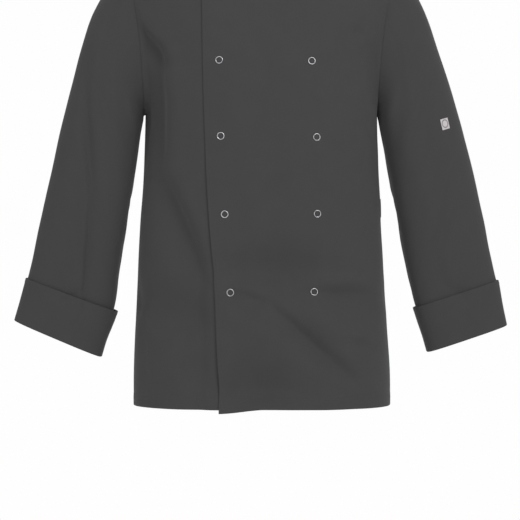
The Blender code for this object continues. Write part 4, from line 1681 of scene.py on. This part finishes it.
@dataclass(frozen=True)
class Stitching:
    """Rows of thread, one stitch after another along a line."""

    pitch: float = 3.3
    length: float = 2.5
    thickness: float = 0.55

    @staticmethod
    def tree(thread: bpy.types.Material) -> bpy.types.NodeTree:
        """Node tree that sets stitches along every edge of a mesh.

        Args:
            thread: the stitches' material.

        Returns:
            The tree, with the inputs Pitch, Length and Thickness.
        """
        tree = bpy.data.node_groups.new("stitch_row", "GeometryNodeTree")
        face = tree.interface
        face.new_socket("Geometry", in_out="OUTPUT", socket_type="NodeSocketGeometry")
        face.new_socket("Geometry", in_out="INPUT", socket_type="NodeSocketGeometry")
        for name in ("Pitch", "Length", "Thickness"):
            face.new_socket(name, in_out="INPUT", socket_type="NodeSocketFloat")
        given, made, curve, points, turn, bead, size, shaped, placed, real, dressed = (
            tree.nodes.new(kind) for kind in (
                "NodeGroupInput", "NodeGroupOutput", "GeometryNodeMeshToCurve",
                "GeometryNodeCurveToPoints", "FunctionNodeAlignRotationToVector",
                "GeometryNodeMeshIcoSphere", "ShaderNodeCombineXYZ", "GeometryNodeTransform",
                "GeometryNodeInstanceOnPoints", "GeometryNodeRealizeInstances",
                "GeometryNodeSetMaterial"))
        points.mode, turn.axis = "LENGTH", "Z"
        bead.inputs["Radius"].default_value = 0.5
        dressed.inputs["Material"].default_value = thread
        for start, end in (
            (given.outputs["Geometry"], curve.inputs[0]),
            (curve.outputs[0], points.inputs["Curve"]),
            (given.outputs["Pitch"], points.inputs["Length"]),
            (points.outputs["Tangent"], turn.inputs["Vector"]),
            (given.outputs["Thickness"], size.inputs["X"]),
            (given.outputs["Thickness"], size.inputs["Y"]),
            (given.outputs["Length"], size.inputs["Z"]),
            (bead.outputs["Mesh"], shaped.inputs["Geometry"]),
            (size.outputs[0], shaped.inputs["Scale"]),
            (points.outputs["Points"], placed.inputs["Points"]),
            (shaped.outputs[0], placed.inputs["Instance"]),
            (turn.outputs[0], placed.inputs["Rotation"]),
            (placed.outputs[0], real.inputs[0]),
            (real.outputs[0], dressed.inputs["Geometry"]),
            (dressed.outputs[0], made.inputs[0]),
        ):
            tree.links.new(start, end)
        return tree

    def sew(self, name: str, lines: Sequence[np.ndarray],
            tree: bpy.types.NodeTree) -> bpy.types.Object:
        """Stitch along lines.

        Args:
            name: name of the new piece.
            lines: points of each line, in millimetres.
            tree: the tree that sets the stitches.

        Returns:
            One plain mesh of all the stitches.
        """
        points, edges = [], []
        for line in lines:
            first = len(points)
            points += [tuple(point * MM) for point in line]
            edges += [(first + n, first + n + 1) for n in range(len(line) - 1)]
        mesh = bpy.data.meshes.new(name + "_lines")
        mesh.from_pydata(points, edges, [])
        guide = linked(name + "_lines", mesh)
        row = guide.modifiers.new("stitches", "NODES")
        row.node_group = tree
        sizes = {"Pitch": self.pitch, "Length": self.length, "Thickness": self.thickness}
        for item in tree.interface.items_tree:
            if item.in_out == "INPUT" and item.name in sizes:
                row[item.identifier] = sizes[item.name] * MM
        graph = bpy.context.evaluated_depsgraph_get()
        made = bpy.data.meshes.new_from_object(guide.evaluated_get(graph), depsgraph=graph)
        made.name = name
        bpy.data.objects.remove(guide)
        made.shade_smooth()
        return linked(name, made)


@dataclass(frozen=True)
class PressStuds:
    """Ring press studs in two columns down the lapped front.

    Each ring is seated on the highest of a few places felt round its foot.
    """

    outer: float = 12.2
    rim: float = 1.5
    height: float = 1.15
    seat: float = 0.05
    turns: int = 48
    felt: float = 5.4
    felt_places: int = 12
    bead: float = 0.75
    bead_from: float = 0.4
    bead_steps: int = 8
    crease: float = 40.0
    places: dict[str, tuple[float, float]] = field(default_factory=lambda: {
        "stud_r1": (-67.5, -85.0), "stud_r2": (-67.3, -206.4), "stud_r3": (-64.6, -328.5),
        "stud_r4": (-58.3, -454.0), "stud_r5": (-49.6, -580.0), "stud_l1": (75.0, -86.0),
        "stud_l2": (81.6, -207.6), "stud_l3": (89.5, -330.0), "stud_l4": (90.7, -453.0),
        "stud_l5": (85.6, -579.0)})

    def profile(self) -> list[tuple[float, float]]:
        """Section of the rim.

        Returns:
            The radius and height of its points, once round.
        """
        edge, inside, high = self.outer / 2, self.outer / 2 - self.rim, self.height
        rows = [(inside, 0.0), (edge - 0.15, 0.0), (edge, 0.18)]
        for n in range(self.bead_steps + 1):
            bend = math.pi / 2 * n / self.bead_steps
            rows.append((edge - self.bead * (1 - math.cos(bend)),
                         self.bead_from + (high - self.bead_from) * math.sin(bend)))
        return rows + [(edge - 1.0, high * 0.94), (edge - 1.25, high * 0.78),
                       (inside + 0.08, high * 0.5), (inside, high * 0.35)]

    def ring(self, name: str, place: tuple[float, float], front: bpy.types.Object,
             plate: bpy.types.Material) -> bpy.types.Object:
        """One stud's ring, seated on the left front.

        Args:
            name: the CAD node that it stands for.
            place: its x and z.
            front: the left front's cloth.
            plate: its material.

        Returns:
            The new object.
        """
        spots = [place]
        for n in range(self.felt_places):
            turn = 2 * math.pi * n / self.felt_places
            spots.append((place[0] + self.felt * math.cos(turn),
                          place[1] + self.felt * math.sin(turn)))
        hits = [ray_down(front, x, z) for x, z in spots]
        normal = Vector(unit(np.array([hit[1] for hit in hits]).sum(axis=0)))
        centre = Vector(hits[0][0])
        right = Vector((0, 0, 1)).cross(normal).normalized()
        up = normal.cross(right)
        high = max((Vector(hit[0]) - centre).dot(normal) for hit in hits)
        profile = self.profile()
        points, faces, size = [], [], len(profile)
        for n in range(self.turns):
            turn = 2 * math.pi * n / self.turns
            side = right * math.cos(turn) + up * math.sin(turn)
            for radius, height in profile:
                points.append((centre + side * radius + normal * (height + high + self.seat)) * MM)
            near, far = n * size, (n + 1) % self.turns * size
            for m in range(size):
                ahead = (m + 1) % size
                faces.append((near + m, near + ahead, far + ahead, far + m))
        return new_piece(name.replace("stud", "ring"), np.array(points), faces, plate, self.crease)


def ray_down(obj: bpy.types.Object, x: float, z: float) -> tuple[np.ndarray, np.ndarray]:
    """First place that a line from the front meets a piece.

    Args:
        obj: the piece.
        x: where the line runs, sideways.
        z: where it runs, in height.

    Returns:
        The place in millimetres, and the direction out of the surface.
    """
    start = Vector((x * MM, -0.6, z * MM))
    _, place, normal, _ = obj.ray_cast(start, Vector((0, 1, 0)))
    return np.array(place) / MM, np.array(normal)


@dataclass(frozen=True)
class SleeveLabel:
    """Small woven label on the left sleeve, tilted with it."""

    width: float = 13.0
    height: float = 18.0
    tilt: float = 13.5
    rise: float = 17.5
    place: tuple[float, float] = (302.3, -303.8)
    wall: float = 0.6
    clear: float = 0.25
    rows: int = 15
    columns: int = 11
    roll: tuple[float, float] = (0.16, 1.2)

    def cloth(self, sleeve: bpy.types.Object) -> Cloth:
        """Lay the label on the sleeve.

        Args:
            sleeve: the left sleeve's cloth.

        Returns:
            The label.
        """
        tilt, rise = math.radians(self.tilt), math.radians(self.rise)
        grid, outs = [], []
        for up in np.linspace(-0.5, 0.5, self.rows):
            for across in np.linspace(-0.5, 0.5, self.columns):
                dx, dz = across * self.width, up * self.height
                x = self.place[0] + dx * math.cos(rise) - dz * math.sin(tilt)
                z = self.place[1] + dx * math.sin(rise) + dz * math.cos(tilt)
                hit, normal = ray_down(sleeve, x, z)
                grid.append(hit)
                outs.append(normal)
        normal = unit(np.array(outs).sum(axis=0))
        points = np.array(grid).reshape(self.rows, self.columns, 3)
        points = points + normal * (self.clear + self.wall / 2)
        piece = Cloth("sleeve_label_weave", points, np.broadcast_to(normal, points.shape),
                      wall=self.wall)
        for edge in Edge:
            piece.thin(piece.away(edge), *self.roll)
        return piece


@dataclass(frozen=True)
class SideTag:
    """Dark tag sewn by the left side seam."""

    columns: tuple[float, float, int] = (1.80, 1.98, 9)
    heights: tuple[float, float, int] = (-456.0, -426.0, 16)
    wall: float = 0.6
    clear: float = 0.85

    def cloth(self, fronts: FrontPanels) -> Cloth:
        """Lay the tag on the left front.

        Args:
            fronts: the fronts.

        Returns:
            The tag.
        """
        low = (np.linspace(*self.heights) - fronts.body.hem_z) / fronts.grid.length
        out = self.clear + self.wall / 2
        points = fronts.over_points(np.linspace(*self.columns), low, out)
        return Cloth("side_tag_weave", points, outward_of(points), wall=self.wall)


@dataclass(frozen=True)
class Studio:
    """Camera, pale floor, white surround and soft lights."""

    camera_place: Triple = (-0.0017, -3.0, -0.5275)
    lens: float = 123.6
    sensor: float = 36.0
    floor_z: float = -1.35
    floor_half: float = 2.5
    ambient: float = 0.38
    white: float = 0.99
    aim: Triple = (0.0, 0.0, -0.4)
    lights: tuple[tuple[str, Triple, float, float], ...] = (
        ("key", (1.6, -2.8, 1.5), 1.5, 48.0),
        ("front", (-1.0, -3.4, 0.0), 1.8, 25.0),
        ("low_left", (-1.8, -2.6, -1.1), 1.8, 8.0),
        ("back_high", (1.0, 3.0, 0.9), 1.6, 30.0),
        ("back_low", (-0.6, 3.4, -0.6), 1.8, 16.0),
    )

    def build(self) -> bpy.types.Object:
        """Set the studio up.

        Returns:
            Its floor.
        """
        scene = bpy.context.scene
        camera = bpy.data.cameras.new("camera")
        camera.lens, camera.sensor_width = self.lens, self.sensor
        scene.camera = linked("camera", camera)
        scene.camera.location = self.camera_place
        scene.camera.rotation_euler = (math.pi / 2, 0, 0)
        for name, place, size, power in self.lights:
            self.light(name, place, size, power)
        scene.world = self.surround()
        scene.view_settings.view_transform = "Standard"
        half, z = self.floor_half, self.floor_z
        corners = [(-half, -half, z), (half, -half, z), (half, half, z), (-half, half, z)]
        mesh = bpy.data.meshes.new("studio_floor")
        mesh.from_pydata(corners, [], [(0, 1, 2, 3)])
        mesh.materials.append(StudioPaper().material())
        return linked("studio_floor", mesh)

    def surround(self) -> bpy.types.World:
        """A surround that is white to the camera and dimmer to the jacket.

        Returns:
            The world.
        """
        world = bpy.data.worlds.new("white_surround")
        world.use_nodes = True
        tree = world.node_tree
        shade = tree.nodes["Background"]
        shade.inputs["Color"].default_value = (1, 1, 1, 1)
        ray, strength = tree.nodes.new("ShaderNodeLightPath"), tree.nodes.new("ShaderNodeMix")
        strength.inputs[2].default_value = self.ambient
        strength.inputs[3].default_value = self.white
        tree.links.new(ray.outputs["Is Camera Ray"], strength.inputs[0])
        tree.links.new(strength.outputs[0], shade.inputs["Strength"])
        return world

    def light(self, name: str, place: Triple, size: float, power: float) -> None:
        """Hang a soft square light that faces the jacket.

        Args:
            name: its name.
            place: where it hangs, in metres.
            size: length of its sides, in metres.
            power: its power in watts.
        """
        lamp = bpy.data.lights.new(name, "AREA")
        lamp.size, lamp.energy = size, power
        obj = linked(name, lamp)
        obj.location = place
        aim = Vector(self.aim) - Vector(place)
        obj.rotation_euler = aim.to_track_quat("-Z", "Y").to_euler()


@dataclass(frozen=True)
class Cut:
    """Flat size of a piece of cloth before it was sewn, in metres."""

    width: float
    length: float
    area: float
    rests_on: tuple[str, ...]


def keep(obj: bpy.types.Object, node: str) -> None:
    """Hand a piece to the frame as the finer form of a CAD node.

    Args:
        obj: the piece.
        node: the CAD node.
    """
    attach(obj, "root")
    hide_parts(node)
    LOG.info("%s: %d faces, for %s", obj.name, len(obj.data.polygons), node)


def keep_cloth(piece: Cloth, material: bpy.types.Material,
               lines: Sequence[np.ndarray], tree: bpy.types.NodeTree) -> bpy.types.Object:
    """Build a piece of cloth with its stitching and hand both to the frame.

    Args:
        piece: the cloth.
        material: its finish.
        lines: the lines that are stitched.
        tree: the tree that sets the stitches.

    Returns:
        The cloth's object.
    """
    node = piece.name.rsplit("_", 1)[0]
    obj = piece.build(material)
    keep(obj, node)
    if lines:
        thread = Stitching().sew(node + "_stitches", lines, tree)
        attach(thread, "root")
    width, length, area = piece.flat_size()
    LOG.info("%s: widest %.3f m, longest %.3f m, area %.4f m2", node, width, length, area)
    return obj


def above(line: np.ndarray, height: float) -> np.ndarray:
    """The part of a line over a height."""
    return line[line[:, 2] > height]


def beyond(line: np.ndarray, x: float) -> list[np.ndarray]:
    """The two parts of a line further out than x, right and left."""
    return [line[line[:, 0] < -x], line[line[:, 0] > x]]


@dataclass(frozen=True)
class StitchRows:
    """How far in from an edge the rows of stitches run, and where they stop."""

    hem: float = 17.0
    free_edge: float = 6.0
    seam: float = 4.5
    collar: float = 5.0
    neck: float = 3.0
    cuff: float = 5.0
    short: float = 1.0
    collar_short: float = 3.0
    over_pit: float = 3.0
    past_neck: float = 4.0


def main() -> None:
    """Build the jacket round the frame."""
    logging.basicConfig(level=logging.INFO, format="%(name)s %(message)s")
    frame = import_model()
    LOG.info("frame of %d nodes", len(frame["nodes"]))
    floor = Studio().build()
    body, grid, rows = BodyForm(), ClothGrid(), StitchRows()
    twill, thread = TwillCloth().material(), SewingThread().material()
    tree = Stitching.tree(thread)
    fronts = FrontPanels(body, grid)
    left, right, back = fronts.left(), fronts.right(), BackPanel(body, grid).cloth()
    stand = StandCollar(grid)
    collar = stand.cloth(stand.neckline(left, right, back))
    forms = {side: SleeveForm(side, body) for side in Side}
    flares = {Side.LEFT: (1.2, 2.4), Side.RIGHT: (0.8, 5.0)}
    sleeves = {side: Sleeve(form, grid).cloth() for side, form in forms.items()}
    cuffs = {side: TurnedCuff(form, grid, flares[side]).cloth() for side, form in forms.items()}
    meet_at_seams([left, right, back, collar, *sleeves.values(), *cuffs.values()])
    hems = [piece.path(Edge.BOTTOM, rows.hem, rows.short) for piece in (left, right, back)]
    pit = body.pit_z + rows.over_pit
    armholes = [above(piece.path(edge, rows.seam), pit) for piece, edge in (
        (left, Edge.END), (right, Edge.START), (back, Edge.START), (back, Edge.END))]
    shoulders = beyond(back.path(Edge.TOP, rows.seam), body.neck_half + rows.past_neck)
    front = keep_cloth(left, twill, [
        hems[0], left.path(Edge.START, rows.free_edge, rows.short), armholes[0]], tree)
    keep_cloth(right, twill, [hems[1], armholes[1]], tree)
    keep_cloth(back, twill, [hems[2], *armholes[2:], *shoulders], tree)
    keep_cloth(collar, twill, [
        collar.path(Edge.TOP, rows.collar, rows.collar),
        collar.path(Edge.BOTTOM, rows.neck, rows.collar_short),
        *(collar.path(edge, rows.collar, rows.collar_short) for edge in (Edge.START, Edge.END))],
        tree)
    sleeve = {}
    for side in Side:
        sleeve[side] = keep_cloth(sleeves[side], twill, [], tree)
        keep_cloth(cuffs[side], twill, [cuffs[side].path(Edge.TOP, rows.cuff)], tree)
    studs, plate = PressStuds(), NickelPlate().material()
    for name, place in studs.places.items():
        keep(studs.ring(name, place, front, plate), name)
    keep_cloth(SleeveLabel().cloth(sleeve[Side.LEFT]), LabelWeave().material(), [], tree)
    keep_cloth(SideTag().cloth(fronts), TagWeave().material(), [], tree)


if __name__ == "__main__":
    main()
